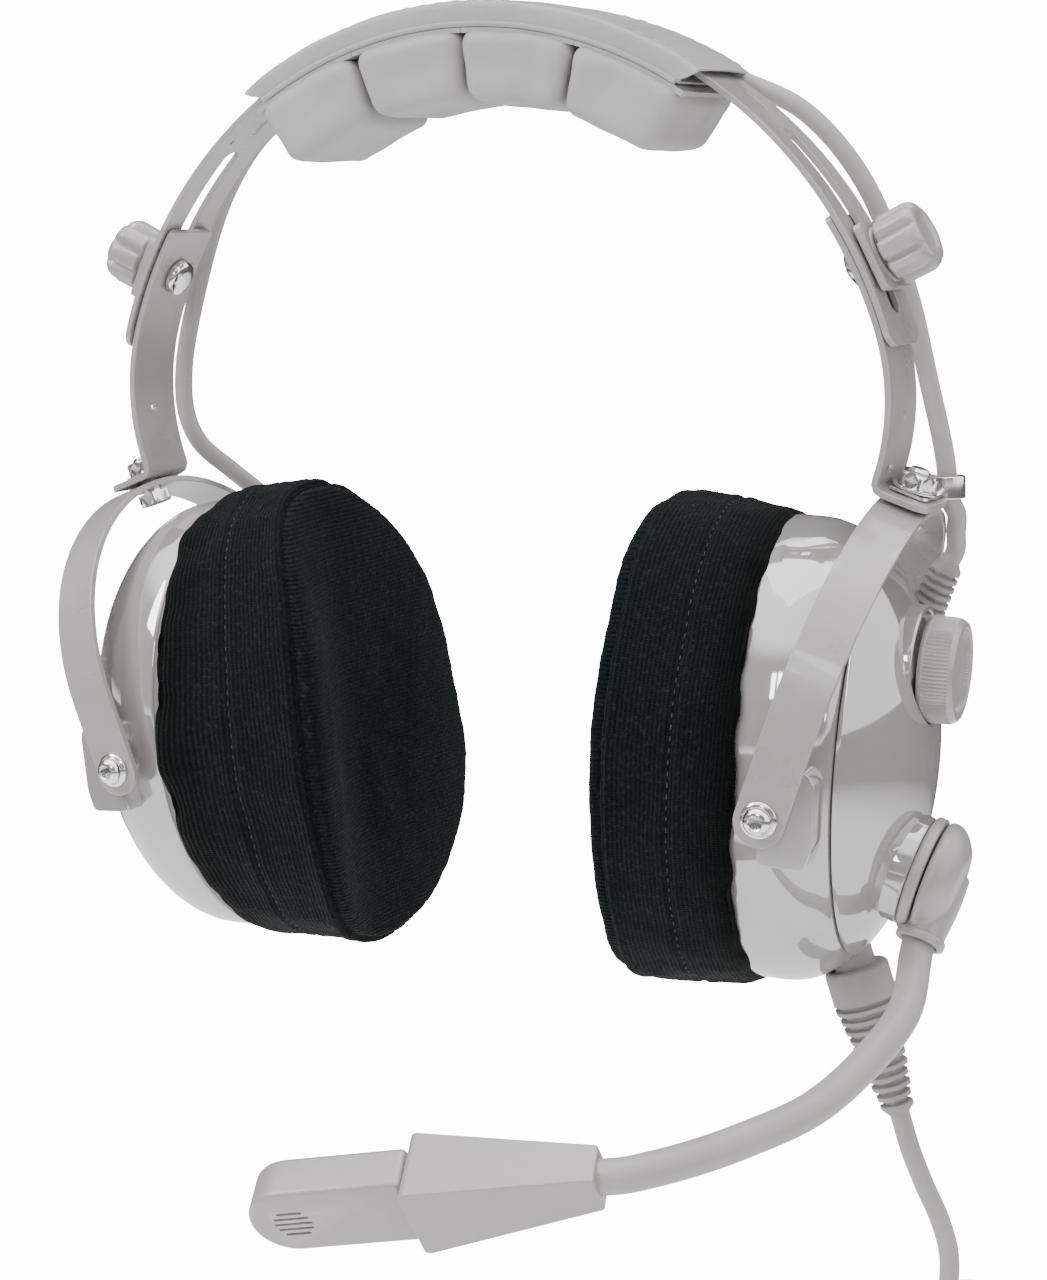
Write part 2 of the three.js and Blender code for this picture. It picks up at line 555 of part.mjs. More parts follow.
const [rightLead, rightTip] = bootMouth(right);
const rightMid = [106, 19.6, 57.8];
add(headset, 'right_cable_upper', tube([coverMouth, [71.5, 14.4, 150], [85, 15.8, 134.4],
  [95.4, 16.4, 109.5], [100.6, 16.4, 88], [103.6, 16.9, 74], [104.55, 17, 67.5],
  [clipAt[0], clipAt[1], clipAt[2] + 0.4]], CROSS.radius, CROSS.sides, 20), rubber);
add(headset, 'right_cable_middle', tube([[clipAt[0], clipAt[1], clipAt[2] - 0.4], [104.7, 17.3, 62.4],
  [105.3, 18.3, 60.2], rightMid], CROSS.radius, CROSS.sides, 5), rubber);
add(headset, 'right_cable_lower', tube([step(rightMid, rightLead, 0.12), step(rightMid, rightLead, 0.5),
  rightLead, rightTip], CROSS.radius, CROSS.sides, 5), rubber);

const [leftLead, leftTip] = bootMouth(left);
const leftClip = [-98.6, 14.4, 79];
const leftMid = [-95.2, 15, 71.5];
add(headset, 'left_cable_upper', tube([[-coverMouth[0], coverMouth[1], coverMouth[2]], [-71.5, 14.4, 150],
  [-85, 15.8, 134.4], [-95.4, 16.4, 109.5], [-99.6, 15.4, 90], leftClip],
CROSS.radius, CROSS.sides, 16), rubber);
add(headset, 'left_cable_middle', tube([step(leftClip, leftMid, 0.12), leftMid],
  CROSS.radius, CROSS.sides, 2), rubber);
add(headset, 'left_cable_lower', tube([step(leftMid, leftLead, 0.36), step(leftMid, leftLead, 0.5),
  leftLead, leftTip], CROSS.radius, CROSS.sides, 5), rubber);

// Clip under the right nut. It holds the cable beside the tab.
const clipFrame = frameIn(headset, clipAt);
const ring = cut(rodZ(4.2, -2.5, 2.5, 14), rodZ(3.2, -4, 4, 14));
const lugSeat = tabHeight + ARM.thick / 2 + GAP;
const clipLug = cut(box(-4, 5.5, -4, 14, lugSeat, lugSeat + 0.8), rodZ(BOLT.hole, 0, 90, 12))
  .rotateY(ARM.lean * DEG).translate(pivotX - clipAt[0], -clipAt[1], -clipAt[2]);
const clipLoop = cut(clipLug, rodZ(3.6, -8, 8, 14));
add(clipFrame, 'right_cable_clip', join(ring, clipLoop), chrome);

// Cord: boot, hanging run, tied coil and plug.
const cordFrame = frameIn(right.cup, CORD_EXIT.at, 'XYZ', [0, CORD_EXIT.turn, 0]);
add(cordFrame, 'cord_boot', boot(4.9, 7.6, 3.3, 33, 6).translate(9, 0, 0), rubber);
const cordStart = worldPoint(cordFrame, [42 + GAP, 0, 0]);
const cordNext = worldPoint(cordFrame, [51, 0, 0]);
const HANG = [105.2, 17];
const COIL_CENTRE = [HANG[0], HANG[1] + 4.75, -166];
const coilPoint = (out, across, up) => [
  COIL_CENTRE[0] + out, COIL_CENTRE[1] + across, COIL_CENTRE[2] + up];
add(headset, 'cord_run', tube([cordStart, cordNext, [101, 9.5, -100], [103.6, 13.5, -110], [105, 16, -119],
  [...HANG, -127.6], coilPoint(0, -7.6, 36.2)], CORD.radius, CORD.sides, 10), rubber);

const bundleSection = [[-1, -0.7], [-0.7, -1], [0.7, -1], [1, -0.7], [1, 0.7], [0.7, 1], [-0.7, 1], [-1, 0.7],
  [-1, -0.7]].map(([across, up]) => [COIL.turnRadius + COIL.bundle * across, COIL.bundle * up]);
add(headset, 'cord_coil', oval(bundleSection, 24, 1).translate(...COIL_CENTRE), rubber);

const tailOut = COIL.bundle + GAP + CORD.radius;
add(headset, 'cord_tail', tube([coilPoint(tailOut, -26.6, 11), coilPoint(tailOut + 0.6, -27.6, 5),
  coilPoint(13, -28, -3), coilPoint(14.6, -28, -12)], CORD.radius, CORD.sides, 5), rubber);
const plug = oval([[0, 0], [3.4, 0], [6.4, 12], [6.6, 44], [3.5, 44.3], [3.5, 66], [2.6, 68], [3.2, 71],
  [0, 74.5]], 14, 1).rotateY(Math.PI / 2).translate(...coilPoint(14.9, -28, -12.7));
add(headset, 'cord_plug', plug, satin);

export default headset;
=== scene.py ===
# Two-way radio headset: sprung headband, two stirrup-hung ear cups in knitted covers, boom microphone.
import math

import bmesh
import bpy
from mathutils import Euler, Matrix, Vector, noise
from mathutils.geometry import delaunay_2d_cdt


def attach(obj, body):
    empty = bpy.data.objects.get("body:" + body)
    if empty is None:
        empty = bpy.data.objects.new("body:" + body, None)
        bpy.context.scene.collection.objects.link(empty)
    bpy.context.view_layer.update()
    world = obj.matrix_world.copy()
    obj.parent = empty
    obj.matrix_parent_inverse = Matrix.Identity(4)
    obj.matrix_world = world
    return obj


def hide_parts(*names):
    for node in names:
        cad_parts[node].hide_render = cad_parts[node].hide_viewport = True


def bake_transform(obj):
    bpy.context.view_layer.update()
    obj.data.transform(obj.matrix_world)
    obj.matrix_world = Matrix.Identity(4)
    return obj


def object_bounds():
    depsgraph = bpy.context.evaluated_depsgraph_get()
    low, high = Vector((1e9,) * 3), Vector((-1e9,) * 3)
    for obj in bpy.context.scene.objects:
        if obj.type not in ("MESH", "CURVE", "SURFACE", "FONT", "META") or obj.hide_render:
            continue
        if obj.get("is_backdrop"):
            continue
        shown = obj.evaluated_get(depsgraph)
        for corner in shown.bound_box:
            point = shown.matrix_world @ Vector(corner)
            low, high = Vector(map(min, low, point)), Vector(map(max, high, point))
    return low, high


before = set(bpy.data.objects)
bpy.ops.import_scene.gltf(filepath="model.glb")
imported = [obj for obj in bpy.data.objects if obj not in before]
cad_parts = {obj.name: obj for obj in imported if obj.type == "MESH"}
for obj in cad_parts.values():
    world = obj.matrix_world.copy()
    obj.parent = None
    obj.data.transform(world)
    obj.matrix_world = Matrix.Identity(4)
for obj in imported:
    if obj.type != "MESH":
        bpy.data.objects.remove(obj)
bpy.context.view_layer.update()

scene = bpy.context.scene
TAU = 2 * math.pi


# ---- places -----------------------------------------------------------------------------------
# Shapes are drawn in millimetres in their own frames, then placed in metres.

MM = Matrix.Diagonal((0.001, 0.001, 0.001, 1.0))


def turn(axis, degrees):
    return Matrix.Rotation(math.radians(degrees), 4, axis)


def shift(x, y, z):
    return Matrix.Translation((x, y, z))


ARC_CENTRE = 70.6
ARM_LEAN = 20
ARM_RADIUS = 101.8
BEND_START = 18
BEND_RADIUS = 53
CUP_TILT = 4.3
CUP_YAW = 6
RATIO = 1.29
LIFT = 4.5


def arc(cx, cz, radius, start, end, count):
    angles = [math.radians(start + (end - start) * i / count) for i in range(count + 1)]
    return [(cx + radius * math.cos(a), cz + radius * math.sin(a)) for a in angles]


def arm_course():
    """Centre line of the sliding arm from its top end to the end of its tab, and the bolt's place."""
    upper = arc(0, ARC_CENTRE, ARM_RADIUS, 33, BEND_START, 12)
    reach = ARM_RADIUS - BEND_RADIUS
    bend_x = reach * math.cos(math.radians(BEND_START))
    bend_z = ARC_CENTRE + reach * math.sin(math.radians(BEND_START))
    bend = arc(bend_x, bend_z, BEND_RADIUS, BEND_START, -ARM_LEAN, 28)[1:]
    out = Vector((math.cos(math.radians(ARM_LEAN)), -math.sin(math.radians(ARM_LEAN))))
    fillet = Vector(bend[-1]) + 2 * out
    corner = arc(fillet.x, fillet.y, 2, 180 - ARM_LEAN, 270 - ARM_LEAN, 6)[1:]
    tab = Vector(corner[-1])
    return upper + bend + corner + [tuple(tab + 11 * out)], tab + 4.5 * out


ARM_LINE, BOLT = arm_course()
TAB_HEIGHT = BOLT.y / math.cos(math.radians(ARM_LEAN))
PIVOT_X = BOLT.x - TAB_HEIGHT * math.sin(math.radians(ARM_LEAN))
STIRRUP_TOP = TAB_HEIGHT - 1.1

SIDES = {"right": 1, "left": -1}
SIDE = {name: turn("Z", 0 if sign > 0 else 180) for name, sign in SIDES.items()}
TAB = {name: SIDE[name] @ shift(PIVOT_X, 0, 0) @ turn("Y", ARM_LEAN) for name in SIDES}
YOKE = {name: TAB[name] @ turn("Z", sign * CUP_YAW) for name, sign in SIDES.items()}
CUP = {name: YOKE[name] @ turn("Y", CUP_TILT - ARM_LEAN) for name in SIDES}
CLAMP = {name: SIDE[name] @ shift(0, 0, ARC_CENTRE) @ turn("Y", -26) for name in SIDES}
SWIVEL = CUP["right"] @ shift(23.6, -5, -19) @ turn("Y", 15)
VOLUME = CUP["right"] @ shift(0, 0, 26.5)
CORD_WAY = CUP["right"] @ shift(10, 0, -40.5) @ turn("Y", 70)
MIC = shift(70.4, -103.7, -65.2) @ turn("Z", 190.2) @ turn("Y", 9.2) @ turn("X", -32)
BOOT_WAY = {
    "right": CUP["right"] @ shift(17.5, 24, 33) @ turn("Y", -68),
    "left": CUP["left"] @ shift(0, -28, 43) @ turn("Y", -75),
}
BOOT_LENGTH = {"right": 15, "left": 10}


def metres(matrix, point):
    return MM @ matrix @ Vector(point)


def millimetres(matrix, point):
    return matrix @ Vector(point)


# ---- camera -----------------------------------------------------------------------------------


def aim_camera():
    azimuth, elevation, roll = math.radians(26.53), math.radians(8.73), math.radians(-1.47)
    back = Vector((
        math.sin(azimuth) * math.cos(elevation),
        -math.cos(azimuth) * math.cos(elevation),
        math.sin(elevation),
    ))
    right = Vector((math.cos(azimuth), math.sin(azimuth), 0))
    up = back.cross(right)
    place = back * 0.6911 + right * 0.00359 + up * 0.02617
    right_rolled = right * math.cos(roll) + up * math.sin(roll)
    up_rolled = up * math.cos(roll) - right * math.sin(roll)
    data = bpy.data.cameras.new("camera")
    data.lens = 80.1
    data.sensor_width = 36
    data.clip_start = 0.01
    camera = bpy.data.objects.new("camera", data)
    scene.collection.objects.link(camera)
    camera.matrix_world = Matrix.Translation(place) @ Matrix(
        (right_rolled, up_rolled, back)).transposed().to_4x4()
    scene.camera = camera


aim_camera()


# ---- shader kit -------------------------------------------------------------------------------


def add_node(tree, kind, values=None, **settings):
    made = tree.nodes.new(kind)
    for name, value in settings.items():
        setattr(made, name, value)
    for name, value in (values or {}).items():
        socket = made.inputs[name]
        if isinstance(value, bpy.types.NodeSocket):
            tree.links.new(value, socket)
        else:
            socket.default_value = value
    return made


def number(tree, operation, a, b=0.0, clamp=False):
    made = add_node(tree, "ShaderNodeMath", {0: a, 1: b}, operation=operation, use_clamp=clamp)
    return made.outputs[0]


def blend_colour(tree, factor, a, b):
    made = tree.nodes.new("ShaderNodeMix")
    made.data_type = "RGBA"
    for socket, value in zip((made.inputs[0], made.inputs[6], made.inputs[7]), (factor, a, b)):
        if isinstance(value, bpy.types.NodeSocket):
            tree.links.new(value, socket)
        else:
            socket.default_value = value if not isinstance(value, tuple) else (*value[:3], 1.0)
    return made.outputs[2]


def shader_group(name, inputs, outputs):
    tree = bpy.data.node_groups.new(name, "ShaderNodeTree")
    for label, kind, value in inputs:
        socket = tree.interface.new_socket(name=label, in_out="INPUT", socket_type=kind)
        if value is not None:
            socket.default_value = value
    for label, kind in outputs:
        tree.interface.new_socket(name=label, in_out="OUTPUT", socket_type=kind)
    return tree, tree.nodes.new("NodeGroupInput"), tree.nodes.new("NodeGroupOutput")


def surface_grain():
    """Fine grain for bump, and slow mottling for colour and gloss."""
    tree, given, out = shader_group(
        "surface_grain",
        [("Grain Scale", "NodeSocketFloat", 1200.0), ("Mottle Scale", "NodeSocketFloat", 40.0),
         ("Tone Low", "NodeSocketColor", (0.3, 0.3, 0.3, 1)),
         ("Tone High", "NodeSocketColor", (0.4, 0.4, 0.4, 1))],
        [("Grain", "NodeSocketFloat"), ("Mottle", "NodeSocketFloat"), ("Tone", "NodeSocketColor")])
    where = tree.nodes.new("ShaderNodeTexCoord")
    grain = add_node(tree, "ShaderNodeTexNoise",
                     {"Vector": where.outputs["Object"], "Scale": given.outputs["Grain Scale"],
                      "Detail": 3.0, "Roughness": 0.6})
    mottle = add_node(tree, "ShaderNodeTexNoise",
                      {"Vector": where.outputs["Object"], "Scale": given.outputs["Mottle Scale"],
                       "Detail": 5.0, "Roughness": 0.62})
    even = add_node(tree, "ShaderNodeMapRange", {"Value": mottle.outputs["Fac"], "From Min": 0.3,
                                                 "From Max": 0.7})
    tone = blend_colour(tree, even.outputs[0], given.outputs["Tone Low"], given.outputs["Tone High"])
    tree.links.new(grain.outputs["Fac"], out.inputs["Grain"])
    tree.links.new(even.outputs[0], out.inputs["Mottle"])
    tree.links.new(tone, out.inputs["Tone"])
    return tree


def wear_and_highlight_edges():
    """A broken mask along sharp outer edges, which lightens them both as rubbed paint and as a painted
    highlight, and one that fills creases with dust.
    """
    tree, given, out = shader_group(
        "wear_and_highlight_edges",
        [("Reach", "NodeSocketFloat", 0.06), ("Break Up", "NodeSocketFloat", 260.0)],
        [("WearAndHighlight", "NodeSocketFloat"), ("Crease", "NodeSocketFloat")])
    shape = tree.nodes.new("ShaderNodeNewGeometry")
    where = tree.nodes.new("ShaderNodeTexCoord")
    broken = add_node(tree, "ShaderNodeTexNoise",
                      {"Vector": where.outputs["Object"], "Scale": given.outputs["Break Up"],
                       "Detail": 4.0})
    top = number(tree, "ADD", 0.53, given.outputs["Reach"])
    edge = add_node(tree, "ShaderNodeMapRange", {"Value": shape.outputs["Pointiness"],
                                                 "From Min": 0.53, "From Max": top})
    # Edge mask: partly rubbed paint, partly a painted highlight along sharp edges.
    wear_and_highlight = number(tree, "MULTIPLY", edge.outputs[0],
                  number(tree, "MULTIPLY", broken.outputs["Fac"], 1.5, clamp=True), clamp=True)
    crease = add_node(tree, "ShaderNodeMapRange", {"Value": shape.outputs["Pointiness"],
                                                   "From Min": 0.47, "From Max": 0.38})
    tree.links.new(wear_and_highlight, out.inputs["WearAndHighlight"])
    tree.links.new(crease.outputs[0], out.inputs["Crease"])
    return tree


def rib_knit():
    """Ribs along U and small stitches along each, from a UV map in metres."""
    tree, given, out = shader_group(
        "rib_knit",
        [("UV", "NodeSocketVector", None), ("Rib Pitch", "NodeSocketFloat", 0.00098),
         ("Stitch Pitch", "NodeSocketFloat", 0.0006)],
        [("Height", "NodeSocketFloat"), ("Rib", "NodeSocketFloat"), ("Fleck", "NodeSocketFloat"),
         ("Cloud", "NodeSocketFloat")])
    where = tree.nodes.new("ShaderNodeTexCoord")
    wander = add_node(tree, "ShaderNodeTexNoise",
                      {"Vector": where.outputs["Object"], "Scale": 220.0, "Detail": 2.0})
    split = add_node(tree, "ShaderNodeSeparateXYZ", {"Vector": given.outputs["UV"]})
    moved = number(tree, "ADD", split.outputs["Y"],
                   number(tree, "MULTIPLY", wander.outputs["Fac"], 0.00028))
    rib = number(tree, "SINE", number(
        tree, "MULTIPLY", number(tree, "DIVIDE", moved, given.outputs["Rib Pitch"]), TAU))
    stitch = number(tree, "SINE", number(
        tree, "MULTIPLY", number(tree, "DIVIDE", split.outputs["X"], given.outputs["Stitch Pitch"]), TAU))
    fuzz = add_node(tree, "ShaderNodeTexNoise",
                    {"Vector": where.outputs["Object"], "Scale": 2600.0, "Detail": 3.0})
    rib_height = number(tree, "MULTIPLY", number(tree, "ADD", rib, 1.0), 0.5)
    height = number(tree, "ADD", number(tree, "MULTIPLY", rib_height, 0.62),
                    number(tree, "ADD", number(tree, "MULTIPLY", stitch, 0.1),
                           number(tree, "MULTIPLY", fuzz.outputs["Fac"], 0.35)))
    flecks = add_node(tree, "ShaderNodeTexNoise",
                      {"Vector": where.outputs["Object"], "Scale": 900.0, "Detail": 4.0,
                       "Roughness": 0.7})
    fleck = add_node(tree, "ShaderNodeMapRange", {"Value": flecks.outputs["Fac"], "From Min": 0.52,
                                                  "From Max": 0.74})
    clouds = add_node(tree, "ShaderNodeTexNoise",
                      {"Vector": where.outputs["Object"], "Scale": 60.0, "Detail": 5.0,
                       "Roughness": 0.6})
    cloud = add_node(tree, "ShaderNodeMapRange", {"Value": clouds.outputs["Fac"], "From Min": 0.35,
                                                  "From Max": 0.68})
    for label, socket in (("Height", height), ("Rib", rib_height), ("Fleck", fleck.outputs[0]),
                          ("Cloud", cloud.outputs[0])):
        tree.links.new(socket, out.inputs[label])
    return tree


GRAIN = surface_grain()
EDGE_WEAR_AND_HIGHLIGHT = wear_and_highlight_edges()
KNIT = rib_knit()


def finish(name, low, high, rough, rough_spread, grain_scale=1500.0, mottle_scale=45.0, bump=0.1,
           bump_distance=0.0002, wear_and_highlight_tone=None, wear_and_highlight_amount=0.5, dust=(0.62, 0.6, 0.58), dust_amount=0.15,
           **plain):
    """A solid finish: mottled tone, uneven gloss, fine grain, sharp edges lightened partly by rubbing and
    partly as a painted highlight, and a little dust in creases.
    """
    material = bpy.data.materials.new(name)
    material.use_nodes = True
    tree = material.node_tree
    shader = tree.nodes["Principled BSDF"]
    grain = tree.nodes.new("ShaderNodeGroup")
    grain.node_tree = GRAIN
    grain.inputs["Grain Scale"].default_value = grain_scale
    grain.inputs["Mottle Scale"].default_value = mottle_scale
    grain.inputs["Tone Low"].default_value = (*low, 1)
    grain.inputs["Tone High"].default_value = (*high, 1)
    edges = tree.nodes.new("ShaderNodeGroup")
    edges.node_tree = EDGE_WEAR_AND_HIGHLIGHT
    colour = grain.outputs["Tone"]
    colour = blend_colour(tree, number(tree, "MULTIPLY", edges.outputs["Crease"], dust_amount),
                          colour, dust)
    # Painted highlight: sharp edges are lifted towards a lighter tone, partly real rubbing, partly light
    # caught on the edges.
    if wear_and_highlight_tone:
        colour = blend_colour(tree, number(tree, "MULTIPLY", edges.outputs["WearAndHighlight"], wear_and_highlight_amount),
                              colour, wear_and_highlight_tone)
    tree.links.new(colour, shader.inputs["Base Color"])
    gloss = add_node(tree, "ShaderNodeMapRange",
                     {"Value": grain.outputs["Mottle"], "To Min": rough - rough_spread,
                      "To Max": rough + rough_spread})
    tree.links.new(gloss.outputs[0], shader.inputs["Roughness"])
    relief = add_node(tree, "ShaderNodeBump", {"Height": grain.outputs["Grain"], "Strength": bump,
                                               "Distance": bump_distance})
    tree.links.new(relief.outputs["Normal"], shader.inputs["Normal"])
    for label, value in plain.items():
        shader.inputs[label.replace("_", " ")].default_value = value
    return material


def grey(level, warmth=0.045):
    return (level * (1 + warmth), level, level * (1 - 0.15 * warmth))


# The lighter edge tones below are partly rubbing and partly painted highlight, strongest on the microphone
# capsule.
painted_steel = finish("painted_steel", grey(0.37), grey(0.42), 0.3, 0.07, wear_and_highlight_tone=grey(0.62, 0.01),
                       wear_and_highlight_amount=0.55, bump=0.1, IOR=1.75, Coat_Weight=0.25)
chrome_steel = finish("chrome_steel", grey(0.72, 0.02), grey(0.82, 0.02), 0.16, 0.07, bump=0.03,
                      dust=(0.25, 0.24, 0.22), dust_amount=0.5, Metallic=1.0)
satin_plastic = finish("satin_plastic", grey(0.37), grey(0.43), 0.34, 0.07, bump=0.2,
                       wear_and_highlight_tone=grey(0.6, 0.02), wear_and_highlight_amount=0.55, IOR=1.8)
capsule_plastic = finish("capsule_plastic", grey(0.36), grey(0.42), 0.34, 0.06, bump=0.2,
                         wear_and_highlight_tone=grey(0.75, 0.01), wear_and_highlight_amount=0.7, IOR=1.8)
gloss_shell = finish("gloss_shell", grey(0.37), grey(0.41), 0.05, 0.02, bump=0.01,
                     mottle_scale=22.0, dust_amount=0.05, IOR=2.9, Coat_Weight=0.3, Coat_Roughness=0.03)
cover_vinyl = finish("cover_vinyl", grey(0.43, 0.015), grey(0.50, 0.015), 0.46, 0.08, bump=0.5,
                     grain_scale=900.0, bump_distance=0.0003, wear_and_highlight_tone=grey(0.62, 0.01), wear_and_highlight_amount=0.3)
pad_vinyl = finish("pad_vinyl", grey(0.46, 0.02), grey(0.53, 0.02), 0.5, 0.08, bump=0.45,
                   grain_scale=1000.0, bump_distance=0.00025, dust_amount=0.1)
cable_jacket = finish("cable_jacket", grey(0.42), grey(0.48), 0.45, 0.08, bump=0.2)
boot_rubber = finish("boot_rubber", grey(0.34), grey(0.40), 0.55, 0.08, bump=0.35,
                     wear_and_highlight_tone=grey(0.5, 0.02), wear_and_highlight_amount=0.4, dust=grey(0.2), dust_amount=0.4)
boom_sleeve = finish("boom_sleeve", grey(0.43), grey(0.48), 0.42, 0.07, bump=0.25,
                     grain_scale=2200.0)
inner_parts = finish("inner_parts", grey(0.2), grey(0.26), 0.6, 0.08, bump=0.3)


def knit_cloth():
    material = bpy.data.materials.new("rib_knit_cloth")
    material.use_nodes = True
    tree = material.node_tree
    shader = tree.nodes["Principled BSDF"]
    where = add_node(tree, "ShaderNodeUVMap", uv_map="cloth")
    knit = tree.nodes.new("ShaderNodeGroup")
    knit.node_tree = KNIT
    tree.links.new(where.outputs["UV"], knit.inputs["UV"])
    base = blend_colour(tree, knit.outputs["Cloud"], (0.0014, 0.0026, 0.0030), (0.0036, 0.0062, 0.0070))
    ribbed = blend_colour(tree, number(tree, "MULTIPLY", knit.outputs["Rib"], 0.6),
                          base, (0.0085, 0.0135, 0.0150))
    flecked = blend_colour(tree, number(tree, "MULTIPLY", knit.outputs["Fleck"], 0.4),
                           ribbed, (0.045, 0.058, 0.062))
    # Painted shade: the cloth is darkened over its last stretch before the back edge, standing in for the
    # shadow in the gathered band there.
    along = add_node(tree, "ShaderNodeSeparateXYZ", {"Vector": where.outputs["UV"]})
    hem = add_node(tree, "ShaderNodeMapRange", {"Value": along.outputs["Y"],
                                                "From Min": (END_WAY - 11) * 0.001,
                                                "From Max": (END_WAY - 4) * 0.001})
    shaded = blend_colour(tree, number(tree, "MULTIPLY", hem.outputs[0], 0.8), flecked,
                          (0.0008, 0.0012, 0.0013))
    tree.links.new(shaded, shader.inputs["Base Color"])
    rough = add_node(tree, "ShaderNodeMapRange", {"Value": knit.outputs["Cloud"], "To Min": 0.88,
                                                  "To Max": 0.97})
    tree.links.new(rough.outputs[0], shader.inputs["Roughness"])
    relief = add_node(tree, "ShaderNodeBump", {"Height": knit.outputs["Height"], "Strength": 1.0,
                                               "Distance": 0.00045})
    tree.links.new(relief.outputs["Normal"], shader.inputs["Normal"])
    shader.inputs["Specular IOR Level"].default_value = 0.1
    shader.inputs["Sheen Weight"].default_value = 0.03
    shader.inputs["Sheen Roughness"].default_value = 0.5
    return material


cover_thread = finish("cover_thread", (0.02, 0.03, 0.032), (0.06, 0.075, 0.08), 0.85, 0.1, bump=0.3,
                      dust_amount=0.0)
seam_thread = finish("seam_thread", grey(0.62, 0.01), grey(0.75, 0.01), 0.6, 0.1, bump=0.3)
tie_nylon = finish("tie_nylon", grey(0.34), grey(0.4), 0.4, 0.08, bump=0.15)


# ---- mesh kit ---------------------------------------------------------------------------------


def to_mesh(name, vertices, faces):
    mesh = bpy.data.meshes.new(name)
    mesh.from_pydata([tuple(v) for v in vertices], [], faces)
    mesh.update()
    return mesh


def outward(mesh):
    shape = bmesh.new()
    shape.from_mesh(mesh)
    bmesh.ops.remove_doubles(shape, verts=shape.verts, dist=1e-5)
    bmesh.ops.recalc_face_normals(shape, faces=shape.faces)
    shape.to_mesh(mesh)
    shape.free()
    return mesh


def joined(name, *meshes):
    shape = bmesh.new()
    for mesh in meshes:
        shape.from_mesh(mesh)
    made = bpy.data.meshes.new(name)
    shape.to_mesh(made)
    shape.free()
    return made


def moved(mesh, matrix):
    mesh.transform(matrix)
    return mesh


def set_piece(name, mesh, matrix, material, body, nodes=(), sharp=38, bevel=0.0,
              segments=2, blend=None):
    """A finished piece: placed in metres, shaded, given its finish and its body."""
    mesh.transform(MM @ matrix)
    mesh.name = name
    mesh.materials.clear()
    mesh.materials.append(material)
    mesh.shade_smooth()
    mesh.set_sharp_from_angle(angle=math.radians(sharp))
    piece = bpy.data.objects.new(name, mesh)
    scene.collection.objects.link(piece)
    if bevel:
        edge = piece.modifiers.new("edge", "BEVEL")
        edge.width = bevel * 0.001
        edge.segments = segments
        edge.limit_method = "ANGLE"
        edge.angle_limit = math.radians(35)
        edge.harden_normals = True
    if blend:
        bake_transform(piece)
    else:
        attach(piece, body)
    if nodes:
        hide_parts(*nodes)
    return piece


def rounded(points, radius, steps=4, closed=False):
    """The corners of an outline or profile, each turned into a small arc."""
    made = []
    count = len(points)
    for i, point in enumerate(points):
        if not closed and i in (0, count - 1):
            made.append(tuple(point))
            continue
        here = Vector(point)
        before = Vector(points[i - 1]) - here
        after = Vector(points[(i + 1) % count]) - here
        if before.length < 1e-6 or after.length < 1e-6:
            continue
        reach = min(radius, before.length * 0.48, after.length * 0.48)
        start = here + before.normalized() * reach
        end = here + after.normalized() * reach
        for k in range(steps + 1):
            t = k / steps
            made.append(tuple(start * (1 - t) ** 2 + here * 2 * t * (1 - t) + end * t * t))
    return made


def turned(profile, segments=48, ratio=1.0, radius_at=None):
    """A profile of (radius, station) pairs turned about x. radius_at(angle, radius, station) may shape it."""
    vertices, rings = [], []
    for radius, station in profile:
        if radius < 1e-6:
            rings.append([len(vertices)])
            vertices.append((station, 0, 0))
            continue
        ring = []
        for k in range(segments):
            angle = TAU * k / segments
            reach = radius_at(angle, radius, station) if radius_at else radius
            ring.append(len(vertices))
            vertices.append((station, reach * math.cos(angle), ratio * reach * math.sin(angle)))
        rings.append(ring)
    faces = []
    closed = profile[0][0] > 1e-6 and profile[-1][0] > 1e-6
    pairs = list(zip(rings, rings[1:])) + ([(rings[-1], rings[0])] if closed else [])
    for a, b in pairs:
        for k in range(segments):
            n = (k + 1) % segments
            face = [a[k % len(a)], a[n % len(a)], b[n % len(b)], b[k % len(b)]]
            face = [v for i, v in enumerate(face) if v != face[i - 1]]
            if len(face) > 2:
                faces.append(face)
    return outward(to_mesh("turned", vertices, faces))


def block(x0, x1, y0, y1, z0, z1):
    shape = bmesh.new()
    bmesh.ops.create_cube(shape, size=1)
    for v in shape.verts:
        v.co = Vector(((x0, x1)[v.co.x > 0], (y0, y1)[v.co.y > 0], (z0, z1)[v.co.z > 0]))
    mesh = bpy.data.meshes.new("block")
    shape.to_mesh(mesh)
    shape.free()
    return mesh


def extruded(outline, depth):
    """An outline of (x, z) pairs given depth about y = 0."""
    count = len(outline)
    vertices = [(x, side * depth / 2, z) for side in (-1, 1) for x, z in outline]
    faces = [list(range(count)), list(range(2 * count - 1, count - 1, -1))]
    faces += [[i, (i + 1) % count, count + (i + 1) % count, count + i] for i in range(count)]
    return outward(to_mesh("extruded", vertices, faces))


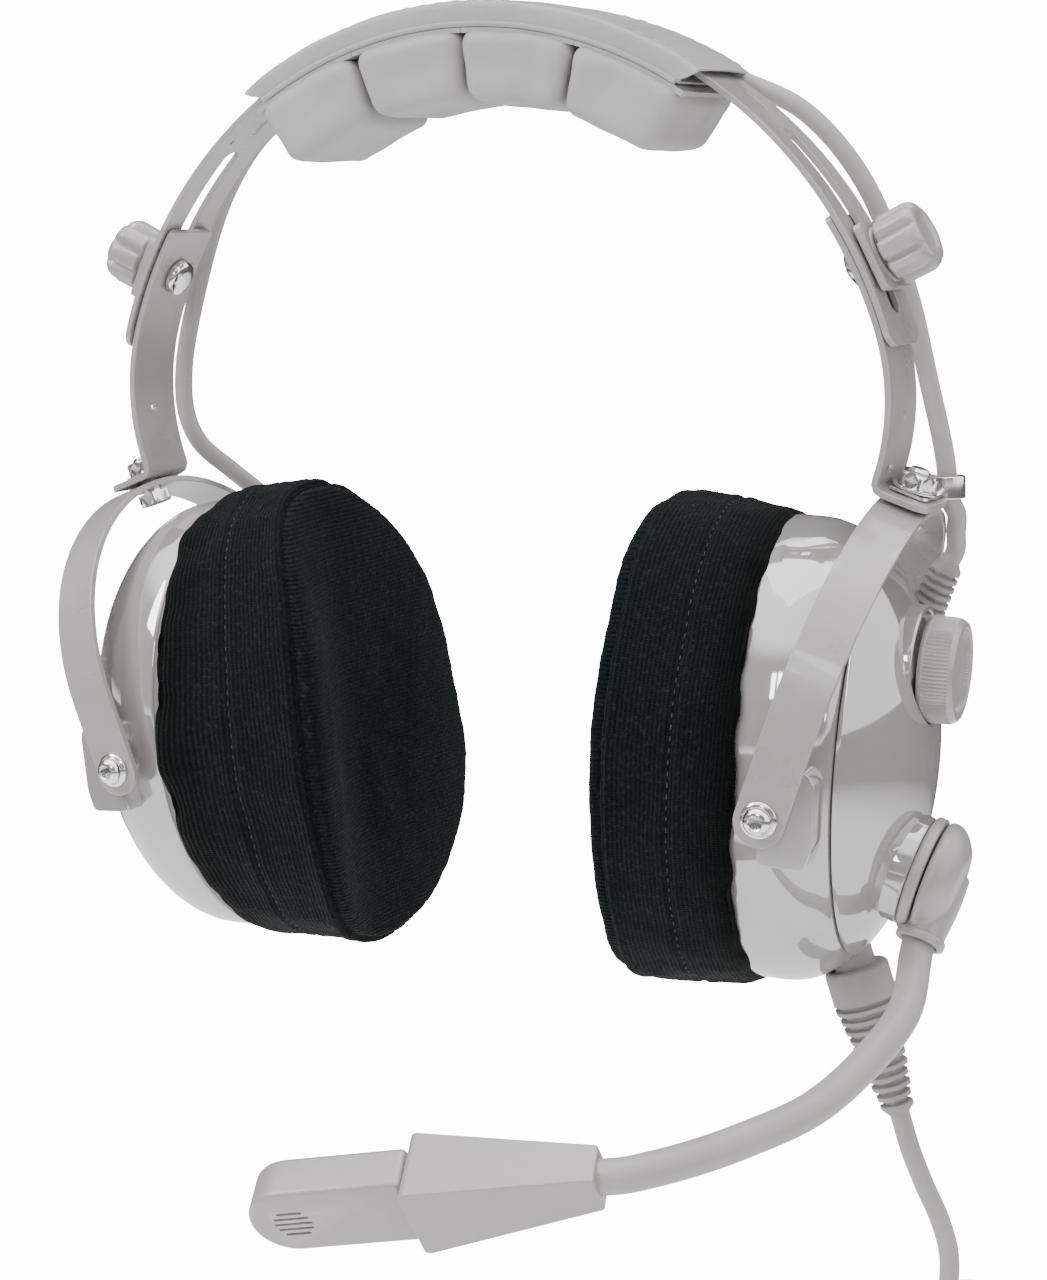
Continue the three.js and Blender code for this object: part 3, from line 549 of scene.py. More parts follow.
def through_points(points, spacing=1.2):
    """A smooth line through the points, with no tight spots, sampled about every spacing."""
    path = [Vector(p) for p in points]
    path = [2 * path[0] - path[1]] + path + [2 * path[-1] - path[-2]]
    made = []
    for i in range(1, len(path) - 2):
        p0, p1, p2, p3 = path[i - 1:i + 3]
        t0 = 0.0
        t1 = t0 + (p1 - p0).length ** 0.5
        t2 = t1 + (p2 - p1).length ** 0.5
        t3 = t2 + (p3 - p2).length ** 0.5
        count = max(2, round((p2 - p1).length / spacing))
        for k in range(count):
            t = t1 + (t2 - t1) * k / count
            a1 = p0 * ((t1 - t) / (t1 - t0)) + p1 * ((t - t0) / (t1 - t0))
            a2 = p1 * ((t2 - t) / (t2 - t1)) + p2 * ((t - t1) / (t2 - t1))
            a3 = p2 * ((t3 - t) / (t3 - t2)) + p3 * ((t - t2) / (t3 - t2))
            b1 = a1 * ((t2 - t) / (t2 - t0)) + a2 * ((t - t0) / (t2 - t0))
            b2 = a2 * ((t3 - t) / (t3 - t1)) + a3 * ((t - t1) / (t3 - t1))
            made.append(b1 * ((t2 - t) / (t2 - t1)) + b2 * ((t - t1) / (t2 - t1)))
    made.append(path[-2])
    return made


def swept(line, radius, sides=20):
    """A closed round tube along a line. radius is a number or a function of the part of the way along."""
    count = len(line)
    tangents = [(line[min(i + 1, count - 1)] - line[max(i - 1, 0)]).normalized() for i in range(count)]
    across = tangents[0].orthogonal().normalized()
    vertices = []
    for i, (point, tangent) in enumerate(zip(line, tangents)):
        across = (across - tangent * across.dot(tangent)).normalized()
        other = tangent.cross(across)
        reach = radius(i / (count - 1)) if callable(radius) else radius
        for k in range(sides):
            angle = TAU * k / sides
            vertices.append(point + across * (reach * math.cos(angle)) + other * (reach * math.sin(angle)))
    faces = [[i * sides + k, i * sides + (k + 1) % sides, (i + 1) * sides + (k + 1) % sides,
              (i + 1) * sides + k] for i in range(count - 1) for k in range(sides)]
    faces.append(list(range(sides)))
    faces.append([(count - 1) * sides + k for k in range(sides)])
    return outward(to_mesh("swept", vertices, faces))


def inside(point, loop):
    x, y = point
    hit = False
    for (x0, y0), (x1, y1) in zip(loop, loop[1:] + loop[:1]):
        if (y0 > y) != (y1 > y) and x < (x1 - x0) * (y - y0) / (y1 - y0) + x0:
            hit = not hit
    return hit


def divided(loop, spacing):
    made = []
    for a, b in zip(loop, loop[1:] + loop[:1]):
        a, b = Vector(a), Vector(b)
        count = max(1, math.ceil((b - a).length / spacing))
        made += [tuple(a.lerp(b, k / count)) for k in range(count)]
    return made


def punched(outline, holes, thickness, bend, spacing=2.0):
    """A flat strip with holes, given thickness and bent: bend(along, across, lift) is a point."""
    loops = [divided(loop, spacing) for loop in [outline, *holes]]
    points, edges = [], []
    for loop in loops:
        start = len(points)
        points += [Vector(p) for p in loop]
        edges += [(start + i, start + (i + 1) % len(loop)) for i in range(len(loop))]
    rim = list(points)
    xs, ys = [p[0] for p in outline], [p[1] for p in outline]
    row = min(ys) + spacing
    while row < max(ys):
        column = min(xs) + spacing
        while column < max(xs):
            here = (column, row)
            if inside(here, loops[0]) and not any(inside(here, h) for h in loops[1:]):
                spot = Vector(here)
                if min((spot - p).length_squared for p in rim) > (0.45 * spacing) ** 2:
                    points.append(spot)
            column += spacing
        row += spacing
    found = delaunay_2d_cdt(points, edges, [], 0, 1e-5)
    flat, triangles = found[0], []
    for face in found[2]:
        middle = sum((flat[i] for i in face), Vector((0, 0))) / 3
        if inside(middle, loops[0]) and not any(inside(middle, h) for h in loops[1:]):
            triangles.append(list(face))
    used = {}
    for face in triangles:
        for a, b in zip(face, face[1:] + face[:1]):
            key = (min(a, b), max(a, b))
            used[key] = used.get(key, 0) + 1
    count = len(flat)
    vertices = [bend(p.x, p.y, side * thickness / 2) for side in (1, -1) for p in flat]
    faces = triangles + [[i + count for i in reversed(face)] for face in triangles]
    faces += [[a, b, b + count, a + count] for (a, b), times in used.items() if times == 1]
    mesh = to_mesh("punched", vertices, faces)
    shape = bmesh.new()
    shape.from_mesh(mesh)
    bmesh.ops.delete(shape, geom=[v for v in shape.verts if not v.link_faces], context="VERTS")
    bmesh.ops.recalc_face_normals(shape, faces=shape.faces)
    shape.to_mesh(mesh)
    shape.free()
    return mesh


def course_bend(line, plane):
    """Bends a strip to follow a line of pairs. plane(a, b, across) makes the point."""
    spots = [Vector(p) for p in line]
    lengths = [0.0]
    for a, b in zip(spots, spots[1:]):
        lengths.append(lengths[-1] + (b - a).length)
    count = len(spots)
    headings = [(spots[min(i + 1, count - 1)] - spots[max(i - 1, 0)]).normalized() for i in range(count)]

    def bend(along, across, lift):
        along = min(max(along, 0.0), lengths[-1])
        i = 0
        while i < count - 2 and lengths[i + 1] < along:
            i += 1
        t = (along - lengths[i]) / (lengths[i + 1] - lengths[i])
        spot = spots[i].lerp(spots[i + 1], t)
        heading = headings[i].lerp(headings[i + 1], t).normalized()
        return plane(spot.x - heading.y * lift, spot.y + heading.x * lift, across)

    return bend, lengths[-1]


def circle(x, y, radius, count=24):
    return [(x + radius * math.cos(TAU * k / count), y + radius * math.sin(TAU * k / count))
            for k in range(count)]


def round_slot(x0, x1, y, width, count=8):
    half = width / 2
    ends = [(x1 - half, -90), (x0 + half, 90)]
    return [(x + half * math.cos(math.radians(a + 180 * k / count)),
             y + half * math.sin(math.radians(a + 180 * k / count)))
            for x, a in ends for k in range(count + 1)]


def round_plate(x0, x1, half_width, start_radius, end_radius):
    corners = [(x1, half_width, end_radius, 0), (x0, half_width, start_radius, 90),
               (x0, -half_width, start_radius, 180), (x1, -half_width, end_radius, 270)]
    made = []
    for x, y, radius, start in corners:
        cx = x - radius if x == x1 else x + radius
        cy = y - math.copysign(radius, y)
        for k in range(9):
            a = math.radians(start + 90 * k / 8)
            made.append((cx + radius * math.cos(a), cy + radius * math.sin(a)))
    return made


def carved(mesh, cutters):
    """mesh less each cutter, by exact booleans."""
    base = bpy.data.objects.new("base", mesh)
    scene.collection.objects.link(base)
    tools = []
    for cutter in cutters:
        tool = bpy.data.objects.new("tool", cutter)
        scene.collection.objects.link(tool)
        change = base.modifiers.new("carve", "BOOLEAN")
        change.operation = "DIFFERENCE"
        change.solver = "EXACT"
        change.object = tool
        tools.append(tool)
    made = bpy.data.meshes.new_from_object(base.evaluated_get(bpy.context.evaluated_depsgraph_get()))
    for item in [base, *tools]:
        bpy.data.objects.remove(item)
    return made


def remeshed(mesh, voxel, smooth=4):
    """Overlapping closed solids melted into one smooth skin."""
    base = bpy.data.objects.new("base", mesh)
    scene.collection.objects.link(base)
    melt = base.modifiers.new("melt", "REMESH")
    melt.mode = "VOXEL"
    melt.voxel_size = voxel
    relax = base.modifiers.new("relax", "SMOOTH")
    relax.iterations = smooth
    relax.factor = 0.5
    made = bpy.data.meshes.new_from_object(base.evaluated_get(bpy.context.evaluated_depsgraph_get()))
    bpy.data.objects.remove(base)
    return made


def rod(radius, start, end, segments=24):
    return turned([(0, start), (radius, start), (radius, end), (0, end)], segments)


# ---- stitches ---------------------------------------------------------------------------------


def stitch_tree():
    """Short round stitches laid end to end along a line."""
    tree = bpy.data.node_groups.new("stitch_run", "GeometryNodeTree")
    for label, kind, value in (("Line", "NodeSocketGeometry", None), ("Spacing", "NodeSocketFloat", 0.003),
                               ("Length", "NodeSocketFloat", 0.0018), ("Radius", "NodeSocketFloat", 0.0002),
                               ("Thread", "NodeSocketMaterial", None), ("Seed", "NodeSocketInt", 3)):
        socket = tree.interface.new_socket(name=label, in_out="INPUT", socket_type=kind)
        if value is not None:
            socket.default_value = value
    tree.interface.new_socket(name="Stitches", in_out="OUTPUT", socket_type="NodeSocketGeometry")
    given, out = tree.nodes.new("NodeGroupInput"), tree.nodes.new("NodeGroupOutput")
    curve = add_node(tree, "GeometryNodeMeshToCurve", {0: given.outputs["Line"]})
    points = tree.nodes.new("GeometryNodeCurveToPoints")
    points.mode = "LENGTH"
    tree.links.new(curve.outputs[0], points.inputs["Curve"])
    tree.links.new(given.outputs["Spacing"], points.inputs["Length"])
    thread = tree.nodes.new("GeometryNodeMeshUVSphere")
    thread.inputs["Segments"].default_value = 8
    thread.inputs["Rings"].default_value = 6
    thread.inputs["Radius"].default_value = 1.0
    size = add_node(tree, "ShaderNodeCombineXYZ",
                    {"X": given.outputs["Radius"], "Y": given.outputs["Radius"]})
    half = number(tree, "MULTIPLY", given.outputs["Length"], 0.5)
    tree.links.new(half, size.inputs["Z"])
    wobble = tree.nodes.new("FunctionNodeRandomValue")
    wobble.data_type = "FLOAT_VECTOR"
    wobble.inputs[0].default_value = (0.85, 0.85, 0.82)
    wobble.inputs[1].default_value = (1.15, 1.15, 1.1)
    tree.links.new(given.outputs["Seed"], wobble.inputs["Seed"])
    scaled = tree.nodes.new("ShaderNodeVectorMath")
    scaled.operation = "MULTIPLY"
    tree.links.new(size.outputs[0], scaled.inputs[0])
    tree.links.new(wobble.outputs[0], scaled.inputs[1])
    laid = tree.nodes.new("GeometryNodeInstanceOnPoints")
    tree.links.new(points.outputs["Points"], laid.inputs["Points"])
    tree.links.new(thread.outputs["Mesh"], laid.inputs["Instance"])
    tree.links.new(points.outputs["Rotation"], laid.inputs["Rotation"])
    tree.links.new(scaled.outputs[0], laid.inputs["Scale"])
    real = add_node(tree, "GeometryNodeRealizeInstances", {0: laid.outputs[0]})
    painted = add_node(tree, "GeometryNodeSetMaterial", {0: real.outputs[0]})
    tree.links.new(given.outputs["Thread"], painted.inputs["Material"])
    tree.links.new(painted.outputs[0], out.inputs[0])
    return tree


STITCHES = stitch_tree()


def stitched(lines, spacing, length, radius, thread):
    """Stitches along lines of points in metres, as one plain mesh."""
    vertices, edges = [], []
    for line, closed in lines:
        start = len(vertices)
        vertices += [tuple(p) for p in line]
        edges += [(start + i, start + i + 1) for i in range(len(line) - 1)]
        if closed:
            edges.append((start + len(line) - 1, start))
    mesh = bpy.data.meshes.new("line")
    mesh.from_pydata(vertices, edges, [])
    carrier = bpy.data.objects.new("line", mesh)
    scene.collection.objects.link(carrier)
    sewn = carrier.modifiers.new("sewn", "NODES")
    sewn.node_group = STITCHES
    wanted = {"Spacing": spacing, "Length": length, "Radius": radius, "Thread": thread, "Seed": 3}
    for item in STITCHES.interface.items_tree:
        if item.in_out == "INPUT" and item.name in wanted:
            sewn[item.identifier] = wanted[item.name]
    made = bpy.data.meshes.new_from_object(
        carrier.evaluated_get(bpy.context.evaluated_depsgraph_get()))
    bpy.data.objects.remove(carrier)
    return made


def set_stitches(name, lines, body, spacing=0.003, length=0.0018, radius=0.0002, thread=None):
    mesh = stitched(lines, spacing, length, radius, thread)
    return set_piece(name, mesh, MM.inverted(), thread, body)


# ---- headband ---------------------------------------------------------------------------------

WORLD = Matrix.Identity(4)
SPRING_RADIUS = 103.75


def on_band(radius, degrees, y):
    a = math.radians(degrees)
    return Vector((radius * math.cos(a), y, ARC_CENTRE + radius * math.sin(a)))


def headband_spring():
    def bend(along, across, lift):
        return on_band(SPRING_RADIUS + lift, 15 + math.degrees(along / SPRING_RADIUS), across)

    def at(degrees):
        return math.radians(degrees - 15) * SPRING_RADIUS

    holes = []
    for low, high, width, y in ((19, 46, 5.4, 0), (49.5, 53.5, 1.7, 1.2)):
        holes.append(round_slot(at(low), at(high), y, width))
        holes.append(round_slot(at(180 - high), at(180 - low), y, width))
    for degrees in (47.9, 132.1):
        holes.append(circle(at(degrees), -5.5, 0.7, 12))
    mesh = punched(round_plate(0, at(165), 10, 4, 4), holes, 1.5, bend)
    return set_piece("headband_spring_strip", mesh, WORLD, painted_steel, "headband",
                     ["headband_spring"], bevel=0.25)


def wrap_section(inset):
    """The wrap's cross-section as (across, radius) pairs, crowned on top."""
    corners = [(-16.8 + inset, 100.4 + inset), (16.8 - inset, 100.4 + inset),
               (16.8 - inset, 106.1 - inset), (-16.8 + inset, 106.1 - inset)]
    made = []
    for y, r in divided(rounded(corners, 1.7, 4, closed=True), 1.6):
        crown = 0.5 * (1 - (y / 16.8) ** 2) if r > 104.5 else 0
        made.append((y, r + crown))
    return made


def headband_cover():
    steps = 64
    loops = [wrap_section(0), wrap_section(0.8)]
    vertices, faces, offsets = [], [], []
    for depth, loop in enumerate(loops):
        offsets.append(len(vertices))
        for i in range(steps + 1):
            for y, r in loop:
                top = min(1, max(0, (r - 101.5) / 3.5))
                end = 57.9 - 1.5 * top
                degrees = end + (180 - 2 * end) * i / steps
                near = min(i, steps - i) / steps
                pinch = 0.35 * math.exp(-(near / 0.03) ** 2) * (1 if r > 103 else -1) * (depth == 0)
                wave = 0.22 * noise.noise(Vector((degrees * 0.21, y * 0.11, r * 0.2)))
                vertices.append(on_band(r - pinch + wave * (depth == 0), degrees, y))
    for loop, start, flip in zip(loops, offsets, (False, True)):
        n = len(loop)
        for i in range(steps):
            for k in range(n):
                face = [start + i * n + k, start + i * n + (k + 1) % n,
                        start + (i + 1) * n + (k + 1) % n, start + (i + 1) * n + k]
                faces.append(face[::-1] if flip else face)
    n = min(len(loops[0]), len(loops[1]))
    mesh = to_mesh("wrap", vertices, faces)
    shape = bmesh.new()
    shape.from_mesh(mesh)
    rims = [e for e in shape.edges if e.is_boundary]
    left = [e for e in rims if (e.verts[0].co.x + e.verts[1].co.x) < 0]
    right = [e for e in rims if (e.verts[0].co.x + e.verts[1].co.x) > 0]
    for ends in (left, right):
        bmesh.ops.bridge_loops(shape, edges=ends)
    bmesh.ops.recalc_face_normals(shape, faces=shape.faces)
    shape.to_mesh(mesh)
    shape.free()
    beads = []
    for y in (-16.3, 16.3):
        line = [on_band(100.9, 58.2 + (180 - 116.4) * i / 70, y) for i in range(71)]
        beads.append(swept(line, 0.75, 10))
    set_piece("headband_wrap", joined("wrap", mesh, *beads), WORLD, cover_vinyl, "headband",
              ["headband_cover"], sharp=50)
    rows = []
    for y, radius in ((-14.2, 106.22), (14.2, 106.22)):
        row = [metres(WORLD, on_band(radius, 58.4 + (180 - 116.8) * i / 90, y)) for i in range(91)]
        rows.append((row, False))
    set_stitches("headband_wrap_stitches", rows, "headband", 0.0042, 0.0026, 0.00024, cover_vinyl)


PAD_SPAN = (66 - 3) / 4


def pad_cell(index):
    """One stuffed cell on its share of the moulded base sheet."""
    middle = 57 + PAD_SPAN / 2 + index * (PAD_SPAN + 1)
    half = Vector((math.radians(PAD_SPAN) * 92 / 2 + 0.75, 18.4, 8.1))
    corner = 3.6
    shape = bmesh.new()
    bmesh.ops.create_cube(shape, size=2)
    bmesh.ops.subdivide_edges(shape, edges=shape.edges, cuts=17, use_grid_fill=True)
    for v in shape.verts:
        a, b, c = v.co
        spot = Vector((a * half.x, b * half.y, c * half.z))
        core = Vector(tuple(max(-h + corner, min(h - corner, s)) for s, h in zip(spot, half)))
        out = spot - core
        if out.length > 1e-9:
            spot = core + out.normalized() * corner
        lower = max(0.0, -c)
        spot.z -= 1.1 * (1 - a * a) * (1 - b * b) * lower
        spot.y *= 1 - 0.07 * (1 - c) / 2 - 0.025 * (1 - a * a) * (1 - abs(c))
        spot.x *= 1 - 0.03 * (1 - b * b) * (1 - abs(c)) - 0.05 * (1 - c) / 2
        soft = noise.noise(Vector((spot.x * 0.13 + index * 7, spot.y * 0.11, spot.z * 0.14)))
        fold = noise.noise(Vector((spot.x * 0.5 + index * 3, spot.y * 0.09, spot.z * 0.3)))
        spot += spot.normalized() * (0.55 * soft + 0.16 * fold * (1 - lower))
        v.co = on_band(91.6 + spot.z, middle + math.degrees(spot.x / 92), spot.y)
    bmesh.ops.recalc_face_normals(shape, faces=shape.faces)
    cell = bpy.data.meshes.new("cell")
    shape.to_mesh(cell)
    shape.free()
    sheet_half = (PAD_SPAN + 0.9) / 2

    def bend(along, across, lift):
        wave = 0.25 * noise.noise(Vector((along * 0.2 + index * 5, across * 0.2, 0)))
        return on_band(99.5 + lift + wave * (lift < 0), middle + along, across)

    flat = punched([(-sheet_half, -16.4), (sheet_half, -16.4), (sheet_half, 16.4), (-sheet_half, 16.4)],
                   [], 1.1, bend)
    piece = set_piece(f"pad_cell_{index + 1}", joined("pad", cell, flat), WORLD, pad_vinyl, "headband",
                      [f"head_pad_cell_{index + 1}"], sharp=60)


def headband_cable():
    line = [on_band(103.5, 58.5 + (180 - 117) * i / 60, 13.2) for i in range(61)]
    set_piece("crossover_cable_in_wrap", swept(line, 2.3, 16), WORLD, cable_jacket, "headband",
              ["crossover_cable_top"])


headband_spring()
headband_cover()
for cell_index in range(4):
    pad_cell(cell_index)
headband_cable()


# ---- arms, clamps and stirrups ----------------------------------------------------------------


def slide_arm(side):
    bend, length = course_bend(ARM_LINE, lambda x, z, across: Vector((x, across, z)))
    clamp_at = math.radians(33 - 26) * ARM_RADIUS
    holes = [circle(clamp_at, 0, 2.7), circle(length - 6.5, 0, 2.7), circle(47, 0.5, 1.1, 16)]
    mesh = punched(round_plate(0, length, 9, 1.6, 3.2), holes, 1.6, bend, spacing=1.5)
    set_piece(f"{side}_arm_strip", mesh, SIDE[side], painted_steel, f"{side}_arm",
              [f"{side}_slide_arm"], bevel=0.25)


def clamp(side):
    arm = f"{side}_arm"
    screw = turned(rounded([(0, 97.8), (2.6, 97.85), (4.2, 98.5), (4.6, 99.3), (4.6, 100.7), (2.2, 100.7),
                            (2.2, 115), (0, 115)], 0.4, 3), 40)
    set_piece(f"{side}_clamp_bolt", screw, CLAMP[side], chrome_steel, arm,
              [f"{side}_clamp_screw"])
    corners = rounded([(-8, -8), (8, -8), (8, 8), (-8, 8)], 1.8, 5, closed=True)
    plate = punched(corners, [circle(0, 0, 2.6)], 1.8,
                    lambda along, across, lift: Vector((106 + lift, along, across)), spacing=2.5)
    collar = turned(rounded([(2.6, 106.8), (6.9, 106.8), (6.4, 107.4), (2.6, 107.4)], 0.2, 2, True), 40)
    set_piece(f"{side}_clamp_washer", joined("plate", plate, collar), CLAMP[side], satin_plastic, arm,
              [f"{side}_clamp_plate"], bevel=0.3)

    def flute(angle, radius, station):
        if radius < 6.2:
            return radius
        phase = (angle * 8 / TAU) % 1 - 0.5
        groove = math.exp(-((phase / 0.13) ** 2))
        lobe = 0.35 * math.cos(phase * TAU)
        fade = min(1, max(0, (118.4 - station) / 2.2))
        return radius - (1.25 * groove + lobe * 0.3) * fade

    profile = rounded([(0, 107.6), (6.0, 107.6), (6.4, 108.2), (8.1, 108.5), (8.2, 115.6), (7.4, 117.4),
                       (6.1, 118), (4.6, 117.9), (3.8, 117.3), (0, 117.3)], 0.7, 4)
    knob = turned(profile, 160, radius_at=flute)
    set_piece(f"{side}_clamp_thumb_nut", knob, CLAMP[side], satin_plastic, f"{side}_clamp",
              [f"{side}_clamp_knob"], sharp=55)


def stirrup(side):
    half, top = 47.0, STIRRUP_TOP - 0.8
    arch = [(half * math.cos(math.pi * k / 56), 18 + (top - 18) * math.sin(math.pi * k / 56))
            for k in range(57)]
    line = [(half, -6.5), (half, 6), *arch, (-half, 6), (-half, -6.5)]
    bend, length = course_bend(line, lambda y, z, across: Vector((across, y, z)))
    holes = [circle(6.5, 0, 2.4), circle(length / 2, 0, 2.6), circle(length - 6.5, 0, 2.4)]
    mesh = punched(round_plate(0, length, 5.75, 5.6, 5.6), holes, 1.6, bend, spacing=1.5)
    set_piece(f"{side}_stirrup_strip", mesh, YOKE[side], painted_steel, f"{side}_yoke",
              [f"{side}_stirrup"], bevel=0.25)


def hexagon(flat):
    """Cuts a round profile down to a hexagon of that half width across flats."""
    def reach(angle, radius, station):
        a = (angle + math.pi / 6) % (math.pi / 3) - math.pi / 6
        return min(radius, flat / math.cos(a)) if radius > flat * 0.8 else radius
    return reach


def stirrup_bolt(side):
    upright = TAB[side] @ turn("Y", -90)
    under = STIRRUP_TOP - 2.6
    seat = TAB_HEIGHT + 1.1 + (1.1 if side == "right" else 0)
    head = turned([(0, under - 2.8), (3.9, under - 2.8), (4.4, under - 2.3), (4.4, under), (2.4, under),
                   (2.4, seat + 4.2), (1.9, seat + 4.8), (0, seat + 4.8)], 72,
                  radius_at=lambda a, r, s: hexagon(3.9)(a, r, s) if s < under + 0.1 else r)
    set_piece(f"{side}_stirrup_bolt_body", head, upright, chrome_steel, f"{side}_arm",
              [f"{side}_stirrup_bolt"], sharp=30)
    ring = turned(rounded([(2.6, seat - 0.1), (5.3, seat - 0.1), (5.3, seat + 0.5), (2.6, seat + 0.5)],
                          0.15, 2, True), 48)
    nut = turned([(2.5, seat + 0.5), (4.1, seat + 0.5), (4.75, seat + 0.9), (4.75, seat + 3.3),
                  (4.0, seat + 3.8), (2.7, seat + 3.8), (2.5, seat + 3.5)], 72,
                 radius_at=lambda a, r, s: hexagon(4.05)(a, r, s))
    set_piece(f"{side}_stirrup_nut_body", joined("nut", ring, nut), upright, chrome_steel,
              f"{side}_arm", [f"{side}_stirrup_nut"], sharp=30)


for side_name in SIDES:
    slide_arm(side_name)
    clamp(side_name)
    stirrup(side_name)
    stirrup_bolt(side_name)


def cable_clip():
    seat = TAB_HEIGHT + 1.1
    place = Vector((104.6, 17, 64.2))
    lug = punched(rounded([(-4.6, -4.6), (4.8, -4.6), (4.8, 13.6), (-3.2, 13.6)], 1.6, 4, True),
                  [circle(0, 0, 2.7)], 0.8,
                  lambda along, across, lift: TAB["right"] @ Vector((along, across, seat + 0.4 + lift)))
    ring = turned(rounded([(3.2, -2.6), (4.2, -2.6), (4.2, 2.6), (3.2, 2.6)], 0.3, 3, True), 40)
    ring.transform(shift(*place) @ turn("Y", -90))
    set_piece("cable_clip_strap", joined("clip", lug, ring), WORLD, chrome_steel, "right_arm",
              ["right_cable_clip"], bevel=0.12)


cable_clip()


# ---- cups -------------------------------------------------------------------------------------

HALF = 42.0
DEPTH = 29.5
SEAM = 12.5


def shell_radius(station, grow=0.0):
    reach = (max(station, -2) + 2) / (DEPTH + grow)
    return (HALF + grow) * math.sqrt(max(0.0, 1 - reach * reach))


def polish(piece, matrix):
    """Gives the parts of a cup on its true oval their exact normals, so that reflections run smooth."""
    mesh = piece.data
    place = (MM @ matrix).inverted()
    spin = place.to_3x3().normalized()
    back = spin.transposed()
    exact = []
    for v in mesh.vertices:
        p = place @ v.co
        grow_x = max(0.0, p.x + 2) / DEPTH
        across = math.hypot(p.y, (p.z - LIFT) / RATIO) / HALF
        off = abs(math.hypot(grow_x, across) - 1) * HALF
        if off < 0.06:
            n = Vector((2 * max(0.0, p.x + 2) / DEPTH ** 2, 2 * p.y / HALF ** 2,
                        2 * (p.z - LIFT) / (HALF * RATIO) ** 2))
            exact.append((back @ n).normalized())
        else:
            exact.append(None)
    normals = [Vector(n.vector) for n in mesh.corner_normals]
    for face in mesh.polygons:
        spots = [mesh.loops[i].vertex_index for i in face.loop_indices]
        if all(exact[v] for v in spots) and exact[spots[0]].dot(face.normal) > 0.85:
            for i in face.loop_indices:
                normals[i] = exact[mesh.loops[i].vertex_index]
    mesh.normals_split_custom_set(normals)


def inner_shell(side):
    outside = [(shell_radius(x), x) for x in (-2, 1, 4, 7, 10, 11.6)]
    seam = [(shell_radius(SEAM) - 0.25, SEAM - 0.3), (shell_radius(SEAM) - 0.8, SEAM - 0.05)]
    inner = [(shell_radius(x, -2.2), x) for x in (SEAM, 8, 3, -2, -9)]
    rim = [(HALF - 0.9, -9), (HALF - 0.2, -8.7), (HALF, -8), (HALF, -5)]
    mesh = turned(outside + seam + inner + rim, 120, RATIO)
    mesh.transform(shift(0, 0, LIFT))
    lugs = []
    for end in (-1, 1):
        outline = rounded([(-1, -11), (10, -11), (11.4, -6), (11.4, 8), (9.4, 11), (-1, 11)], 1.6, 4, True)
        lug = extruded(outline, 8.2)
        lug.transform(shift(0, end * 41.6, 0))
        lugs.append(lug)
    piece = set_piece(f"{side}_cup_inner", joined("inner", mesh, *lugs), CUP[side], gloss_shell,
                      f"{side}_cup", [f"{side}_inner_shell"], sharp=32, bevel=0.35,
                      segments=2)
    return piece


def outer_dome(side):
    start = math.asin((SEAM + 0.3 + 2) / DEPTH)
    edge = [(shell_radius(SEAM) - 2.2, SEAM + 0.35), (shell_radius(SEAM) - 0.9, SEAM + 0.35),
            (shell_radius(SEAM + 0.5) - 0.3, SEAM + 0.5)]
    outside = [(HALF * math.cos(t), -2 + DEPTH * math.sin(t))
               for t in (start + (math.pi / 2 - start) * (0.035 + 0.965 * i / 30) for i in range(31))]
    outside[-1] = (0, DEPTH - 2)
    inner_start = math.asin((SEAM + 2) / (DEPTH - 2.2))
    inner = [((HALF - 2.2) * math.cos(t), -2 + (DEPTH - 2.2) * math.sin(t))
             for t in (math.pi / 2 - (math.pi / 2 - inner_start) * i / 12 for i in range(13))]
    inner[0] = (0, DEPTH - 4.2)
    dome = turned(inner + edge + outside, 120, RATIO)
    dome.transform(shift(0, 0, LIFT))
    extra = []
    if side == "right":
        at_volume = shift(0, 0, 26.5)
        dome = carved(dome, [moved(rod(12.9, 23.55, 45, 72), at_volume)])
        ring = turned(rounded([(12.85, 15), (14.3, 15), (14.3, 23.6), (12.85, 23.6)], 0.5, 4, True), 96)
        extra.append(moved(ring, at_volume))
        at_swivel = shift(23.6, -5, -19) @ turn("Y", 15)
        boss = turned(rounded([(0, -5), (12.8, -5), (12.8, 2.3), (0, 2.3)], 0.6, 4), 72)
        extra.append(moved(boss, at_swivel))
    piece = set_piece(f"{side}_cup_dome", joined("dome", dome, *extra), CUP[side], gloss_shell,
                      f"{side}_cup", [f"{side}_outer_dome"], sharp=32)
    polish(piece, CUP[side])


def cup_insides(side):
    raised = CUP[side] @ shift(0, 0, LIFT)
    plate = turned(rounded([(14, -11.6), (42.2, -11.6), (42.2, -9.3), (14, -9.3)], 0.5, 2, True), 64, RATIO)
    holes = []
    for k in range(10):
        a = TAU * k / 10
        holes.append(moved(rod(1.6, -13, -8, 12), shift(0, 22 * math.cos(a), 22 * math.sin(a))))
    set_piece(f"{side}_baffle_plate", carved(plate, holes), raised, inner_parts, f"{side}_cup",
              [f"{side}_baffle"])
    driver = turned(rounded([(0, -7), (5, -6.6), (14, -8.6), (20.4, -9), (20.4, -7), (12, -3), (12, 2),
                             (0, 2)], 0.6, 3), 48)
    set_piece(f"{side}_driver", driver, raised, inner_parts, f"{side}_cup", [f"{side}_speaker"])
    profile = rounded([(26, -11.9), (26, -36.2), (42.2, -36.2), (42.2, -11.9)], 5.5, 7, closed=True)

    def lumps(angle, radius, station):
        return radius + 0.3 * noise.noise(Vector((3 * math.cos(angle), 3 * math.sin(angle), station * 0.1)))

    seal = turned(profile, 72, RATIO, lumps)
    lift = Vector((0, 0, LIFT))
    for v in seal.vertices:
        v.co = slouch(side, v.co * 0.99 + lift) - lift
    piece = set_piece(f"{side}_seal_ring", seal, raised, pad_vinyl, f"{side}_cup",
                      [f"{side}_ear_seal"])


FACE = -39.3
COVER_HALF = 44.9
CORNER = 5.2
HEM = -7.6


